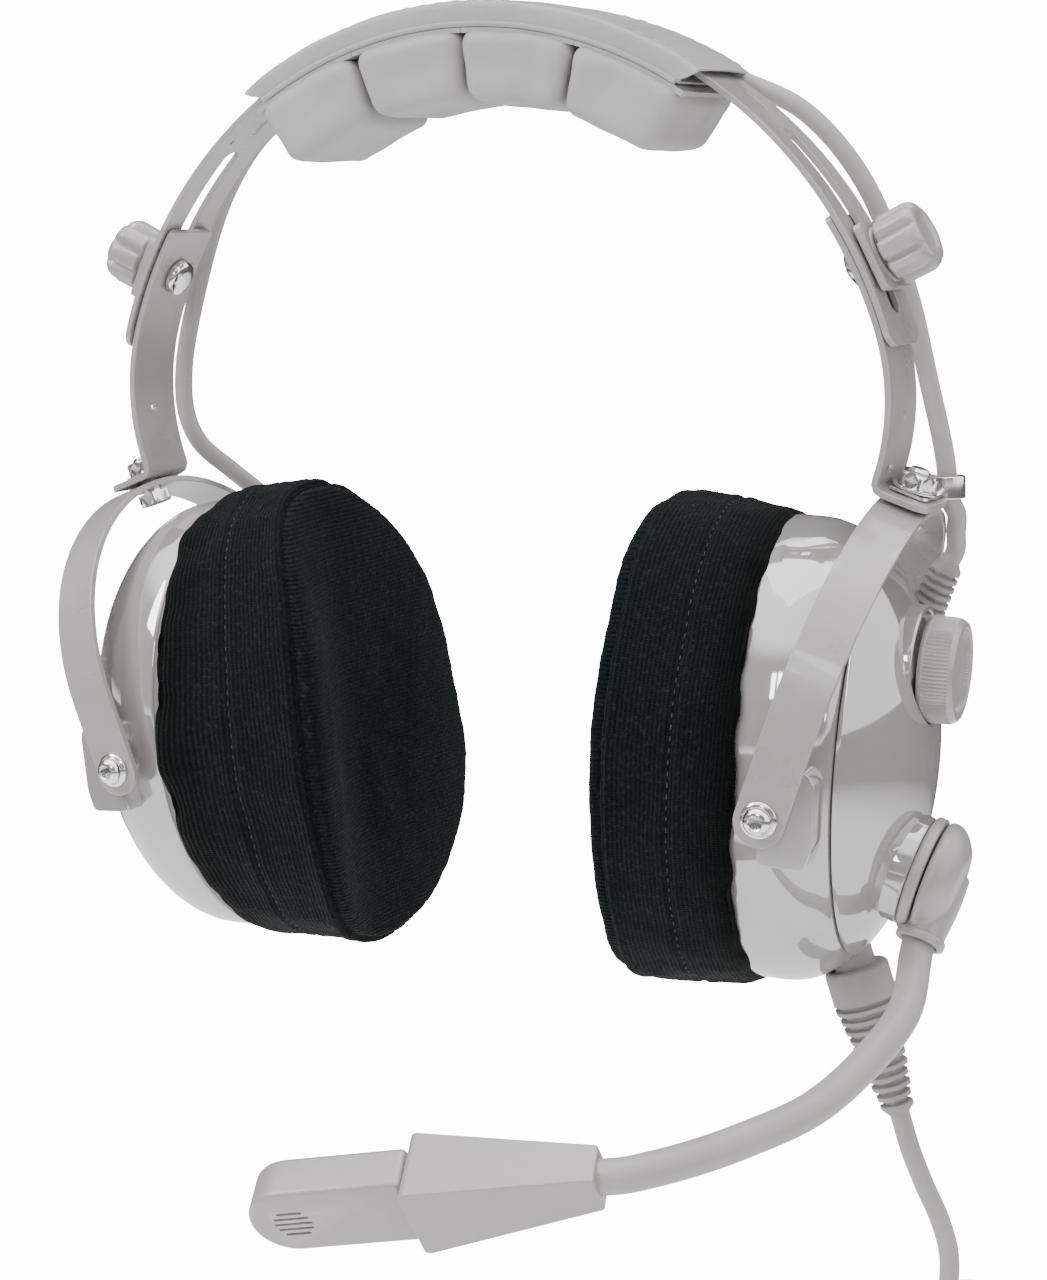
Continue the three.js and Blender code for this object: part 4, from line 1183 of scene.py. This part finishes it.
def cover_profile():
    """(radius, station, way along, on the face) from the middle of the face to the hem."""
    spots = []
    flat = COVER_HALF - CORNER
    for i in range(34):
        spots.append((flat * i / 34, FACE, True))
    for i in range(15):
        a = math.radians(90 * i / 14)
        spots.append((flat + CORNER * math.sin(a), FACE + CORNER * (1 - math.cos(a)), a < math.radians(52)))
    side = HEM - 4.2 - (FACE + CORNER)
    for i in range(1, 39):
        spots.append((COVER_HALF, FACE + CORNER + side * i / 38, False))
    for radius, station in ((44.75, -10.4), (44.4, -9.2), (43.9, -8.2), (43.2, -7.5), (42.75, -8.0)):
        spots.append((radius, station, False))
    way, made = 0.0, []
    for i, (radius, station, face) in enumerate(spots):
        if i:
            way += math.hypot(radius - spots[i - 1][0], station - spots[i - 1][1])
        made.append((radius, station, way, face))
    return made


COVER_PROFILE = cover_profile()
SEAM_WAY = next(way for _, _, way, face in COVER_PROFILE if not face)
GUSSET_WAY = SEAM_WAY + 15.5
END_WAY = COVER_PROFILE[-1][2]
rib_knit_cloth = knit_cloth()


def cloth_height(angle, way, radius, seed):
    """How far the cloth stands off its plain form: seams, sag, lumps and the gathers of the hem."""
    around = Vector((math.cos(angle), math.sin(angle), 0)) * min(1.0, radius / (COVER_HALF - CORNER))
    d = way - SEAM_WAY
    past = max(0.0, d)
    height = -0.95 * math.exp(-((d / 0.75) ** 2))
    height += 0.42 * math.exp(-(((abs(d) - 2.0) / 1.2) ** 2))
    g = way - GUSSET_WAY
    height += -0.34 * math.exp(-((g / 0.6) ** 2)) + 0.22 * math.exp(-(((abs(g) - 1.6) / 1.1) ** 2))
    if way < SEAM_WAY:
        height += 0.7 * math.exp(-(((radius - 32) / 9) ** 2)) - 1.1 * math.exp(-((radius / 17) ** 2))
    low = noise.noise(around * 1.5 + Vector((seed, 0, past * 0.035)))
    mid = noise.noise(around * 5.0 + Vector((0, seed, past * 0.085)))
    fine = noise.noise(around * 15.0 + Vector((seed, seed, past * 0.2)))
    side = min(1.0, max(0.0, d / 6))
    height += (0.7 + 0.65 * side) * low + (0.32 + 0.55 * side) * mid + (0.07 + 0.12 * side) * fine
    pucker = noise.noise(around * 30 + Vector((seed * 2, 0, 0)))
    height += 0.34 * pucker * math.exp(-((d / 2.6) ** 2))
    near_hem = max(0.0, 1 - (END_WAY - way) / 10)
    pleat = math.cos(27 * angle + 4 * noise.noise(around * 2.2 + Vector((0, 0, seed))))
    height += near_hem ** 1.3 * (0.18 * pleat + 0.8 * noise.noise(around * 5.5 + Vector((seed, 3, 0))))
    for join_at, depth in ((1.33, 1.15), (4.6, 0.5)):
        off = math.atan2(math.sin(angle - join_at), math.cos(angle - join_at)) * radius
        if way > SEAM_WAY:
            height -= depth * math.exp(-((off / 1.3) ** 2)) * side
            height += 0.8 * depth * math.exp(-(((abs(off) - 4.6) / 3.0) ** 2)) * side
    return height


GATHER = 9
STRETCH = 1.15


def slouch(side, spot):
    """The cover hangs off true: its front edge stands proud, its back end is drawn in."""
    x, y, z = spot
    faced = min(1.0, max(0.0, (HEM - x) / (HEM - FACE)))
    front = max(0.0, min(1.0, -y * SIDES[side] / COVER_HALF))
    rear = max(0.0, min(1.0, y * SIDES[side] / COVER_HALF))
    height = max(-1.0, min(1.0, (z - LIFT) / (RATIO * COVER_HALF)))
    top, low = max(0.0, height), max(0.0, -height)
    drawn = 1 - faced
    if side == "left":
        soft = front * front * (3 - 2 * front)
        x -= (3.2 + 3.2 * min(1.0, faced * 3) + 8.4 * faced) * soft * (1 - 0.4 * height * height)
        x -= 3.2 * low * low * (1 - 0.6 * rear)
        x += 5.0 * faced * top ** 3
        y -= 5.5 * faced * soft * (1 - height * height)
        y -= 11.0 * faced * rear * low * (1 - 0.45 * low)
        x -= 3.0 * faced * rear * low
        z -= (2.3 * top - 2.0 * low) * drawn
        z -= 2.0 * faced * top * front
    else:
        x -= 1.6 * faced * faced
        z -= (2.8 * top - 2.4 * low) * drawn
        z -= 1.6 * top * top * faced * (1 - front)
    return Vector((x, y, z))


def ear_cover(side, seed):
    segments = 260
    rows = COVER_PROFILE
    flip = SIDES[side]
    vertices = [(FACE, 0, LIFT)]
    for radius, station, *_ in rows[1:]:
        for k in range(segments):
            a = TAU * k / segments
            vertices.append((station, radius * math.cos(a), LIFT + RATIO * radius * math.sin(a)))
    faces, patches = [], []
    for k in range(segments):
        faces.append((0, 1 + k, 1 + (k + 1) % segments))
        patches.append((0, k))
    for i in range(1, len(rows) - 1):
        a, b = 1 + (i - 1) * segments, 1 + i * segments
        for k in range(segments):
            n = (k + 1) % segments
            faces.append((a + k, b + k, b + n, a + n))
            patches.append((i, k))
    mesh = to_mesh("cloth", vertices, faces)
    normals = [Vector(v.normal) for v in mesh.vertices]
    spin = -1.0 if normals[0].x > 0 else 1.0
    for index, v in enumerate(mesh.vertices):
        if index == 0:
            radius, way, a = 0.0, 0.0, 0.0
        else:
            row = rows[1 + (index - 1) // segments]
            radius, way, a = row[0], row[2], TAU * ((index - 1) % segments) / segments
        angle = a if flip > 0 else math.pi - a
        v.co = v.co + normals[index] * spin * cloth_height(angle, way, radius, seed)
        if way > END_WAY - GATHER:
            part = (way - END_WAY + GATHER) / GATHER
            around = Vector((math.cos(angle), math.sin(angle), seed))
            v.co.x += part * 0.7 * noise.noise(around * 4.5)
        v.co = slouch(side, v.co)
    layer = mesh.uv_layers.new(name="cloth")
    for polygon, (row, k) in zip(mesh.polygons, patches):
        on_face = rows[row][3]
        for loop in polygon.loop_indices:
            v = mesh.loops[loop].vertex_index
            co = mesh.vertices[v].co
            if on_face:
                layer.data[loop].uv = (co.y * 0.001, co.z * 0.001)
            else:
                r = 0 if v == 0 else 1 + (v - 1) // segments
                step = k + (1 if v and (v - 1) % segments != k else 0)
                layer.data[loop].uv = (TAU * STRETCH * COVER_HALF * step / segments * 0.001,
                                       rows[r][2] * 0.001)
    cloth = bpy.data.objects.new("cloth", mesh)
    scene.collection.objects.link(cloth)
    wall = cloth.modifiers.new("wall", "SOLIDIFY")
    wall.thickness = 1.1
    wall.offset = -1.0 if spin > 0 else 1.0
    made = bpy.data.meshes.new_from_object(cloth.evaluated_get(bpy.context.evaluated_depsgraph_get()))
    bpy.data.objects.remove(cloth)
    shape = bmesh.new()
    shape.from_mesh(made)
    bmesh.ops.recalc_face_normals(shape, faces=shape.faces)
    shape.to_mesh(made)
    shape.free()
    piece = set_piece(f"{side}_knit_cover", made, CUP[side], rib_knit_cloth, f"{side}_cup",
                      [f"{side}_ear_cover"], sharp=75)

    def seam_line(way_at, lift):
        row = min(range(len(rows)), key=lambda i: abs(rows[i][2] - way_at))
        line = []
        for k in range(segments):
            v = mesh_spots[1 + (row - 1) * segments + k] + mesh_normals[1 + (row - 1) * segments + k] * lift
            line.append(metres(CUP[side], v))
        return line

    mesh_spots = [Vector(v.co) for v in mesh.vertices]
    mesh_normals = [Vector(n) * spin for n in normals]
    lines = [(seam_line(GUSSET_WAY, 0.08), True)]
    set_stitches(f"{side}_cover_stitches", lines, f"{side}_cup", 0.0026, 0.0013, 0.00016, cover_thread)


def pivot_screws(side):
    for label, sign in (("front", -SIDES[side]), ("back", SIDES[side])):
        at = 48.1
        washer = turned(rounded([(2.1, at - 0.2), (4.1, at - 0.2), (4.15, at + 0.55), (3.5, at + 1.0),
                                 (2.1, at + 0.7)], 0.18, 3, True), 48)
        head = turned([(0, 36), (2.1, 36), (2.1, at + 0.6), (3.15, at + 0.75), (3.2, at + 1.5),
                       (2.9, at + 2.5), (2.2, at + 3.1), (1.75, at + 3.2), (1.6, at + 3.0),
                       (1.6, at + 1.5), (0, at + 1.4)], 72,
                      radius_at=lambda a, r, s: hexagon(1.45)(a, r, s) if 1.3 < r < 1.7 and s > 40 else r)
        set_piece(f"{side}_pivot_{label}", joined("pivot", washer, head), CUP_PIVOT[side][sign],
                  chrome_steel, f"{side}_cup", [f"{side}_pivot_screw_{label}"], sharp=34)


CUP_PIVOT = {side: {sign: CUP[side] @ turn("Z", 90 * sign) for sign in (-1, 1)} for side in SIDES}


def boot_profile(neck, collar, tip, length, ribs, start=0.0):
    """A boot that tapers to the cable, cut into ribs; bridged() can join the ribs at alternate places."""
    spots = [(0, start - 6), (neck, start - 6), (neck, start), (collar - 0.5, start + 0.1),
             (collar, start + 0.7)]
    plain = length * 0.22
    spots.append((collar, start + plain))
    pitch = (length - plain - 1.5) / ribs
    for i in range(ribs):
        at = start + plain + pitch * i
        wide = collar + (tip + 0.7 - collar) * (i + 0.5) / ribs
        spots += [(wide - 1.15, at + pitch * 0.12), (wide - 1.15, at + pitch * 0.42),
                  (wide, at + pitch * 0.54), (wide - 0.1, at + pitch * 0.95)]
    spots += [(tip, start + length - 0.6), (tip - 0.4, start + length), (0, start + length)]
    return spots


def bridged(ribs, start, length):
    def reach(angle, radius, station):
        part = (station - start) / length
        if part < 0.24 or part > 0.98:
            return radius
        turn_by = (int(part * ribs * 1.28) % 2) * math.pi / 2
        bridge = math.exp(-((math.sin(angle + turn_by) / 0.28) ** 2))
        return radius + 0.35 * bridge
    return reach


def cable_boots():
    for side in SIDES:
        length = BOOT_LENGTH[side]
        mesh = turned(boot_profile(3.0, 4.4, 2.8, length, 5), 48)
        set_piece(f"{side}_cable_boot_ribbed", mesh, BOOT_WAY[side], boot_rubber, f"{side}_cup",
                  [f"{side}_cable_boot"], sharp=50)


for side_name, cloth_seed in (("left", 2.3), ("right", 8.7)):
    inner_shell(side_name)
    outer_dome(side_name)
    cup_insides(side_name)
    ear_cover(side_name, cloth_seed)
    pivot_screws(side_name)
cable_boots()


# ---- volume knob and boom swivel --------------------------------------------------------------


def volume():
    pot = turned(rounded([(0, 8), (7, 8), (7, 16.5), (3, 16.5), (3, 29), (0, 29)], 0.5, 3), 40)
    set_piece("volume_control_body", pot, VOLUME, inner_parts, "right_cup", ["volume_control"])

    def knurl(angle, radius, station):
        if radius < 11.3 or not 25.6 < station < 31.2:
            return radius
        tooth = abs(((angle * 84 / TAU) % 1) * 2 - 1)
        return radius - 0.42 * tooth

    profile = rounded([(0, 24.3), (11.4, 24.3), (11.9, 24.9)], 0.2, 2)
    profile += [(12.05, 25.4), (12.15, 25.7), (12.2, 26.4), (12.2, 28.4), (12.15, 30.4), (12.05, 31.1)]
    profile += rounded([(11.9, 31.4), (11.2, 32.6), (9.9, 32.6), (8.9, 31.2), (0, 30.7)], 0.7, 5)
    knob = turned(profile, 504, radius_at=knurl)
    ridges = turned(rounded([(8.7, 31.0), (9.1, 31.0), (9.9, 32.35), (9.3, 32.35)], 0.1, 1, True), 336,
                    radius_at=lambda a, r, s: r - 0.28 * abs(((a * 84 / TAU) % 1) * 2 - 1))
    set_piece("volume_knob_body", joined("knob", knob, ridges), VOLUME, satin_plastic, "volume",
              ["volume_knob"], sharp=40)


def swivel():
    base = turned(rounded([(0, -6), (3, -6), (3, 1.6), (12.4, 2.35), (13.5, 2.9), (13.5, 5.0), (12.9, 5.25),
                           (0, 5.25)], 0.45, 4), 96)
    set_piece("swivel_base_disc", base, SWIVEL, satin_plastic, "right_cup", ["swivel_base"],
              sharp=45)
    disc = turned(rounded([(0, 5.6), (13.5, 5.6), (13.5, 8.3), (12.0, 10.4), (8.5, 12.7), (0, 13.6)], 1.4, 5),
                  96)
    aim = shift(9.2, 0, 0) @ turn("X", -33) @ turn("Y", 90)
    elbow_line = [aim @ Vector((x, 0, 0)) for x in (-2.5, 1, 4.5, 8, 11.5, 14.6)]
    elbow = swept(through_points(elbow_line, 0.8),
                  lambda part: 5.2 + 0.35 * math.sin(math.pi * min(1, part * 1.2)), 40)
    lip = turned(rounded([(4.2, 13.2), (5.75, 13.2), (5.75, 15.5), (4.2, 15.5)], 0.7, 4, True), 56)
    body = remeshed(joined("swivel", disc, elbow), 0.42, 10)
    body = carved(body, [moved(rod(4.1, 10.2, 20, 40), aim.copy())])
    piece = set_piece("swivel_head_elbow", joined("swivel", body, moved(lip, aim)), SWIVEL,
                      satin_plastic, "boom", ["swivel_head"], sharp=48)
    return piece


def boom_route():
    def along(distance):
        a = math.radians(33)
        return millimetres(SWIVEL, (9.2, -distance * math.sin(a), -distance * math.cos(a)))

    return [along(8.5), along(15.5), (108.4, -26, -47.5), (104.8, -42, -55.2), (99.5, -60, -60.5),
            (91.5, -77, -62.8), (84.5, -90, -63.8), (79, -98.6, -64.1), (75, -102.8, -64.45),
            (70.2, -103.73, -65.2)]


def boom():
    line = through_points(boom_route(), 1.0)
    mesh = swept(line, 3.8, 32)
    start, end = (0.1031, -0.048, -0.0575), (0.0943, -0.072, -0.0622)
    set_piece("boom_tube", mesh, WORLD, boom_sleeve, None, ["boom_lower_tube", "boom_upper_tube"],
              blend=("boom", "microphone", start, end))


MIC_NECK = 4.7
MIC_CHEEK = 8.5
MIC_ARM = 40
MIC_HALF = 9.2
MIC_START, MIC_END = 40.3, 76.8
SLOT_FIELD = 4.3


def microphone():
    outline = rounded([(0, -MIC_NECK), (1.0, -4.9), (38.8, -9.6), (MIC_ARM, -9.0), (MIC_ARM, 9.0),
                       (38.8, 9.6), (1.0, 4.9), (0, MIC_NECK)], 0.7, 3, closed=True)
    arm_end = extruded(outline, 2)
    for v in arm_end.vertices:
        v.co.y *= MIC_NECK + (MIC_CHEEK - MIC_NECK) * v.co.x / MIC_ARM
    set_piece("mic_wedge", arm_end, MIC, capsule_plastic, "microphone", ["mic_arm_end"],
              bevel=1.1, segments=4)
    nose = arc(MIC_END - MIC_HALF, 0, MIC_HALF, -90, 90, 30)
    outline = [(MIC_START, -MIC_HALF), *nose, (MIC_START, MIC_HALF)]
    capsule = extruded(outline, 10.5)
    rounded_capsule = bevelled(capsule, 1.5, 5)
    slots = []
    for z in (-3.2, -1.6, 0.0, 1.6, 3.2):
        reach = math.sqrt(SLOT_FIELD ** 2 - z ** 2)
        slots.append(moved(extruded(round_slot(-reach, reach, 0, 0.75), 30),
                           shift(MIC_END - MIC_HALF - 0.8, 0, z)))
    pierced = carved(rounded_capsule, [joined("slots", *slots)])
    set_piece("mic_capsule_case", pierced, MIC, capsule_plastic, "microphone", ["mic_capsule"],
              sharp=32)
    element = turned(rounded([(0, -2.8), (4.8, -2.8), (4.8, 2.8), (0, 2.8)], 0.5, 3), 40)
    set_piece("mic_insert", element, MIC @ shift(MIC_END - MIC_HALF - 0.4, 0, 0) @ turn("Z", 90), inner_parts,
              "microphone", ["mic_element"])


def bevelled(mesh, width, segments):
    base = bpy.data.objects.new("base", mesh)
    scene.collection.objects.link(base)
    edge = base.modifiers.new("edge", "BEVEL")
    edge.width = width
    edge.segments = segments
    edge.limit_method = "ANGLE"
    edge.angle_limit = math.radians(35)
    made = bpy.data.meshes.new_from_object(base.evaluated_get(bpy.context.evaluated_depsgraph_get()))
    bpy.data.objects.remove(base)
    return made


volume()
swivel()
boom()
microphone()


# ---- crossover cable --------------------------------------------------------------------------


def boot_lead(side):
    length = BOOT_LENGTH[side]
    return [tuple(millimetres(BOOT_WAY[side], (reach, 0, 0))) for reach in (length + 3, length + 0.1,
                                                                           length - 2)]


def between(a, b, part):
    return tuple(p + (q - p) * part for p, q in zip(a, b))


CABLE_RADIUS = 2.3
LAP_RADIUS = 2.22


def crossover(side):
    mouth = tuple(on_band(103.5, 57.3, 13.2))
    inner = tuple(on_band(103.5, 58.6, 13.2))
    lead = boot_lead(side)
    if side == "right":
        upper = [inner, mouth, (71.5, 14.4, 150), (85, 15.8, 134.4), (95.4, 16.4, 109.5), (100.6, 16.4, 88),
                 (103.6, 16.9, 74), (104.55, 17, 67.5), (104.6, 17, 64.2)]
        middle = [(104.7, 17.3, 62.4), (105.3, 18.3, 60.2), (106, 19.6, 57.8)]
        splits = ((104.6, 17, 64.2), (106, 19.6, 57.8))
    else:
        upper = [(-inner[0], *inner[1:]), (-mouth[0], *mouth[1:]), (-71.5, 14.4, 150), (-85, 15.8, 134.4),
                 (-95.4, 16.4, 109.5), (-99.6, 15.4, 90), (-98.6, 14.4, 79)]
        middle = [(-95.2, 15, 71.5)]
        splits = ((-98.6, 14.4, 79), (-95.2, 15, 71.5))
    last = middle[-1]
    line = through_points(upper + middle + [between(last, lead[0], 0.5)] + lead, 1.2)
    cuts = [min(range(len(line)), key=lambda i: (line[i] - Vector(s)).length) for s in splits]
    runs = [line[:cuts[0] + 1], line[cuts[0]:cuts[1] + 1], line[cuts[1]:]]
    laps = [line[:cuts[0] + 3], line[cuts[0]:cuts[1] + 3], line[cuts[1]:]]
    joints = (("headband", f"{side}_arm"), (f"{side}_arm", f"{side}_yoke"), (f"{side}_yoke", f"{side}_cup"))
    labels = ("upper", "middle", "lower")
    for label, run, lap, pair in zip(labels, runs, laps, joints):
        over = len(lap) - len(run)
        inner_end = 1 - (over - 0.5) / (len(lap) - 1) if over else 2
        start = run[0] if label != "upper" else run[10]
        end = run[-1] if label != "lower" else run[-4]
        mesh = swept(lap, lambda part: CABLE_RADIUS if part < inner_end else LAP_RADIUS, 18)
        set_piece(f"{side}_crossover_{label}", mesh, WORLD, cable_jacket, None,
                  [f"{side}_cable_{label}"],
                  blend=(*pair, tuple(start * 0.001), tuple(end * 0.001)))


crossover("right")
crossover("left")


# ---- cord -------------------------------------------------------------------------------------

CORD_RADIUS = 2.4
COIL_CENTRE = Vector((105.2, 21.75, -166))
TURN_RADIUS = 27.5
LAYER = 4.95


def coil_spot(degrees, out, layer):
    a = math.radians(degrees)
    reach = TURN_RADIUS + layer
    return COIL_CENTRE + Vector((out, reach * math.cos(a), reach * math.sin(a)))


def cord_line():
    """The whole cord: down from its boot, eight turns of the coil, and out to the plug."""
    run = [millimetres(CORD_WAY, (40, 0, 0)), millimetres(CORD_WAY, (44, 0, 0)),
           millimetres(CORD_WAY, (51, 0, 0)), Vector((101, 9.5, -100)), Vector((103.6, 13.5, -110)),
           Vector((105, 15.6, -119)), Vector((105.2, 13.6, -127.5))]
    order = [(0, 1), (-1, 1), (-1, 0), (-1, -1), (0, -1), (0, 0), (1, 0), (1, 1)]
    coil = []
    entry = 125
    for number_of_turn in range(8):
        here = order[number_of_turn]
        there = order[min(number_of_turn + 1, 7)]
        for k in range(30):
            degrees = entry + 12 * k
            shift_by = min(1, max(0, (12 * k - 150) / 110))
            shift_by = shift_by * shift_by * (3 - 2 * shift_by)
            out = here[0] + (there[0] - here[0]) * shift_by
            layer = here[1] + (there[1] - here[1]) * shift_by
            coil.append(coil_spot(degrees + 360 * number_of_turn, out * LAYER, layer * LAYER))
    tail = [coil_spot(entry + 14, 5.6, 4.6), coil_spot(entry + 29, 8.4, 2.6),
            COIL_CENTRE + Vector((10.6, -26.4, 8)), COIL_CENTRE + Vector((12.6, -27.6, 0)),
            COIL_CENTRE + Vector((14.2, -28, -7)), COIL_CENTRE + Vector((14.9, -28, -14))]
    return through_points(run + coil[1:] + tail, 1.6)


def cord():
    line = cord_line()
    mesh = swept(line, CORD_RADIUS, 16)
    piece = set_piece("cord", mesh, WORLD, cable_jacket, "right_cup",
                      ["cord_run", "cord_coil", "cord_tail"])
    boot = turned(boot_profile(4.9, 7.6, 2.9, 36.5, 11, start=5.5), 64,
                  radius_at=bridged(11, 5.5, 36.5))
    relief = set_piece("cord_boot_ribbed", boot, CORD_WAY, boot_rubber, "right_cup", ["cord_boot"],
                       sharp=50)
    plug_at = COIL_CENTRE + Vector((14.9, -28, -12.7))
    body = turned([(2.5, 0), (3.1, 0), (3.5, 0.6), (3.7, 6), (3.4, 6.4), (4.0, 7.4), (3.9, 8), (4.6, 9.4),
                   (4.4, 10), (6.1, 12.4), (6.45, 14), (6.5, 30), (6.5, 43.2), (6.1, 44.2), (3.6, 44.3),
                   (2.5, 44.3)], 56, radius_at=grips)
    pin = turned(rounded([(0, 43), (3.5, 43), (3.5, 55), (3.15, 55.4), (3.5, 55.8), (3.5, 65.8), (2.5, 67.6),
                          (3.15, 70.4), (2.2, 73.2), (0, 74.4)], 0.3, 2), 48)
    down = shift(*plug_at) @ turn("Y", 90)
    plug = set_piece("cord_plug_body", body, down, satin_plastic, "right_cup", ["cord_plug"],
                     sharp=45)
    tip = set_piece("cord_plug_pin", pin, down, brass_pin, "right_cup", sharp=40)
    for label, degrees in (("upper", 62), ("lower", 292)):
        centre = coil_spot(degrees, 0, 0) - COIL_CENTRE
        outward_way = centre.normalized()
        loop = []
        for k in range(49):
            a = TAU * k / 48
            c, s = math.cos(a), math.sin(a)
            reach = 8.35 / max(abs(c), abs(s)) ** 0.55
            loop.append(COIL_CENTRE + centre + Vector((c * reach, 0, 0)) + outward_way * (s * reach))
        along = Vector((1, 0, 0)).cross(outward_way)
        band = tie_band(loop[:-1], along, 2.2, 0.55)
        set_piece(f"cord_tie_{label}", band, WORLD, tie_nylon, "right_cup", sharp=50)


def grips(angle, radius, station):
    if 15 < station < 42 and radius > 6:
        return radius - 0.3 * max(0.0, math.cos(angle * 10)) ** 2
    return radius


def tie_band(loop, along, half_width, thickness):
    """A flat closed band round a loop."""
    middle = sum(loop, Vector()) / len(loop)
    vertices = []
    for spot in loop:
        out = (spot - middle).normalized()
        for side, lift in ((-1, 0), (1, 0), (1, thickness), (-1, thickness)):
            vertices.append(spot + along * (half_width * side) + out * lift)
    n = len(loop)
    faces = [[4 * i + k, 4 * i + (k + 1) % 4, 4 * ((i + 1) % n) + (k + 1) % 4, 4 * ((i + 1) % n) + k]
             for i in range(n) for k in range(4)]
    return outward(to_mesh("tie", vertices, faces))


brass_pin = finish("brass_pin", (0.62, 0.5, 0.28), (0.72, 0.6, 0.36), 0.2, 0.07, bump=0.03,
                   Metallic=1.0)
cord()


# ---- floor and light --------------------------------------------------------------------------


def studio():
    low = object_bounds()[0].z - 0.004
    pale = bpy.data.materials.new("pale_floor")
    pale.use_nodes = True
    tree = pale.node_tree
    shader = tree.nodes["Principled BSDF"]
    grain = add_node(tree, "ShaderNodeTexNoise", {"Scale": 3.0, "Detail": 2.0})
    tone = blend_colour(tree, grain.outputs["Fac"], (0.86, 0.86, 0.86), (0.9, 0.9, 0.9))
    rays = tree.nodes.new("ShaderNodeLightPath")
    here = tree.nodes.new("ShaderNodeTexCoord")
    reach = add_node(tree, "ShaderNodeVectorMath", {0: here.outputs["Object"]}, operation="LENGTH")
    far = add_node(tree, "ShaderNodeMapRange", {"Value": reach.outputs["Value"], "From Min": 0.65,
                                                "From Max": 1.0})
    # Painted reflection: glossy rays see the floor dark far off and glowing faintly near, laying dark and
    # light reflections on the glossy shells; camera rays see an evenly bright backdrop.
    mirrored = rays.outputs["Is Glossy Ray"]
    tone = blend_colour(tree, number(tree, "MULTIPLY", mirrored, far.outputs[0]), tone, (0.12, 0.12, 0.12))
    tree.links.new(tone, shader.inputs["Base Color"])
    shader.inputs["Roughness"].default_value = 0.9
    shader.inputs["Specular IOR Level"].default_value = 0.1
    near = number(tree, "SUBTRACT", 1.0, far.outputs[0])
    glow = number(tree, "ADD", number(tree, "MULTIPLY", rays.outputs["Is Camera Ray"], 14.0),
                  number(tree, "MULTIPLY", number(tree, "MULTIPLY", mirrored, near), 0.9))
    tree.links.new(glow, shader.inputs["Emission Strength"])
    shader.inputs["Emission Color"].default_value = (1, 1, 1, 1)
    steps, radius, depth = 24, 1.2, 3.0
    profile = [(-6.0, low), (depth - radius, low)]
    profile += [(depth - radius + radius * math.sin(math.radians(90 * k / steps)),
                 low + radius * (1 - math.cos(math.radians(90 * k / steps)))) for k in range(1, steps + 1)]
    profile += [(depth, 5.0)]
    turn_by = Matrix.Rotation(math.radians(26.5), 3, "Z")
    vertices = [turn_by @ Vector((x, y, z)) for y, z in profile for x in (-6, 6)]
    faces = [(2 * i, 2 * i + 1, 2 * i + 3, 2 * i + 2) for i in range(len(profile) - 1)]
    mesh = to_mesh("backdrop", vertices, faces)
    mesh.materials.append(pale)
    mesh.shade_smooth()
    backdrop = bpy.data.objects.new("backdrop", mesh)
    scene.collection.objects.link(backdrop)
    backdrop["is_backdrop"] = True

    world = bpy.data.worlds.new("studio")
    world.use_nodes = True
    tree = world.node_tree
    sky = tree.nodes["Background"]
    where = tree.nodes.new("ShaderNodeTexCoord")
    split = add_node(tree, "ShaderNodeSeparateXYZ", {"Vector": where.outputs["Generated"]})

    def ramp(socket, start, end, low, high):
        made = add_node(tree, "ShaderNodeMapRange", {"Value": socket, "From Min": start, "From Max": end,
                                                     "To Min": low, "To Max": high})
        made.interpolation_type = "SMOOTHSTEP"
        return made.outputs[0]

    front = ramp(split.outputs["Y"], -0.42, -0.16, 1.0, 0.0)
    beside = ramp(split.outputs["X"], -0.8, -0.6, 1.0, 0.0)
    dim = number(tree, "MULTIPLY", number(tree, "MAXIMUM", front, beside),
                 number(tree, "MULTIPLY", ramp(split.outputs["Z"], -0.03, 0.03, 0.0, 1.0),
                        ramp(split.outputs["Z"], 0.55, 0.72, 1.0, 0.0)))
    open_light = ramp(split.outputs["Z"], -0.2, 0.9, 1.0, 1.35)
    room = number(tree, "MULTIPLY", open_light, number(tree, "SUBTRACT", 1.0,
                                                       number(tree, "MULTIPLY", dim, 0.88)))
    rays = tree.nodes.new("ShaderNodeLightPath")
    mirrored = rays.outputs["Is Glossy Ray"]
    shade = number(tree, "MULTIPLY", ramp(split.outputs["X"], 0.1, 0.7, 0.0, 0.4),
                   number(tree, "SUBTRACT", 1.0, mirrored))
    level = number(tree, "SUBTRACT", number(tree, "ADD", number(tree, "MULTIPLY", mirrored, 1.3), 1.0), shade)
    room = number(tree, "MULTIPLY", room, level)
    seen = number(tree, "MULTIPLY", rays.outputs["Is Camera Ray"], 14.0)
    tree.links.new(number(tree, "ADD", room, seen), sky.inputs["Strength"])
    sky.inputs["Color"].default_value = (1.0, 0.985, 0.975, 1)
    scene.world = world

    def softbox(name, place, target, width, height_of, power):
        data = bpy.data.lights.new(name, "AREA")
        data.shape = "RECTANGLE"
        data.size, data.size_y = width, height_of
        data.energy = power
        light = bpy.data.objects.new(name, data)
        scene.collection.objects.link(light)
        light.location = place
        light.rotation_mode = "QUATERNION"
        light.rotation_quaternion = (Vector(target) - Vector(place)).to_track_quat("-Z", "Y")

    softbox("key", (-0.95, -0.95, 1.05), (0, 0, 0.02), 0.45, 0.65, 15)
    softbox("window_tall", (1.3, -0.6, 0.5), (0.08, 0, 0), 0.1, 0.8, 2.2)
    softbox("window_left", (0.1, -1.6, 0.75), (0.05, 0, 0), 0.12, 0.32, 2.2)
    softbox("window_right", (0.28, -1.57, 0.75), (0.05, 0, 0), 0.12, 0.32, 2.2)
    softbox("top", (0.1, 0.1, 1.5), (0, 0, 0), 1.3, 1.3, 11)


studio()
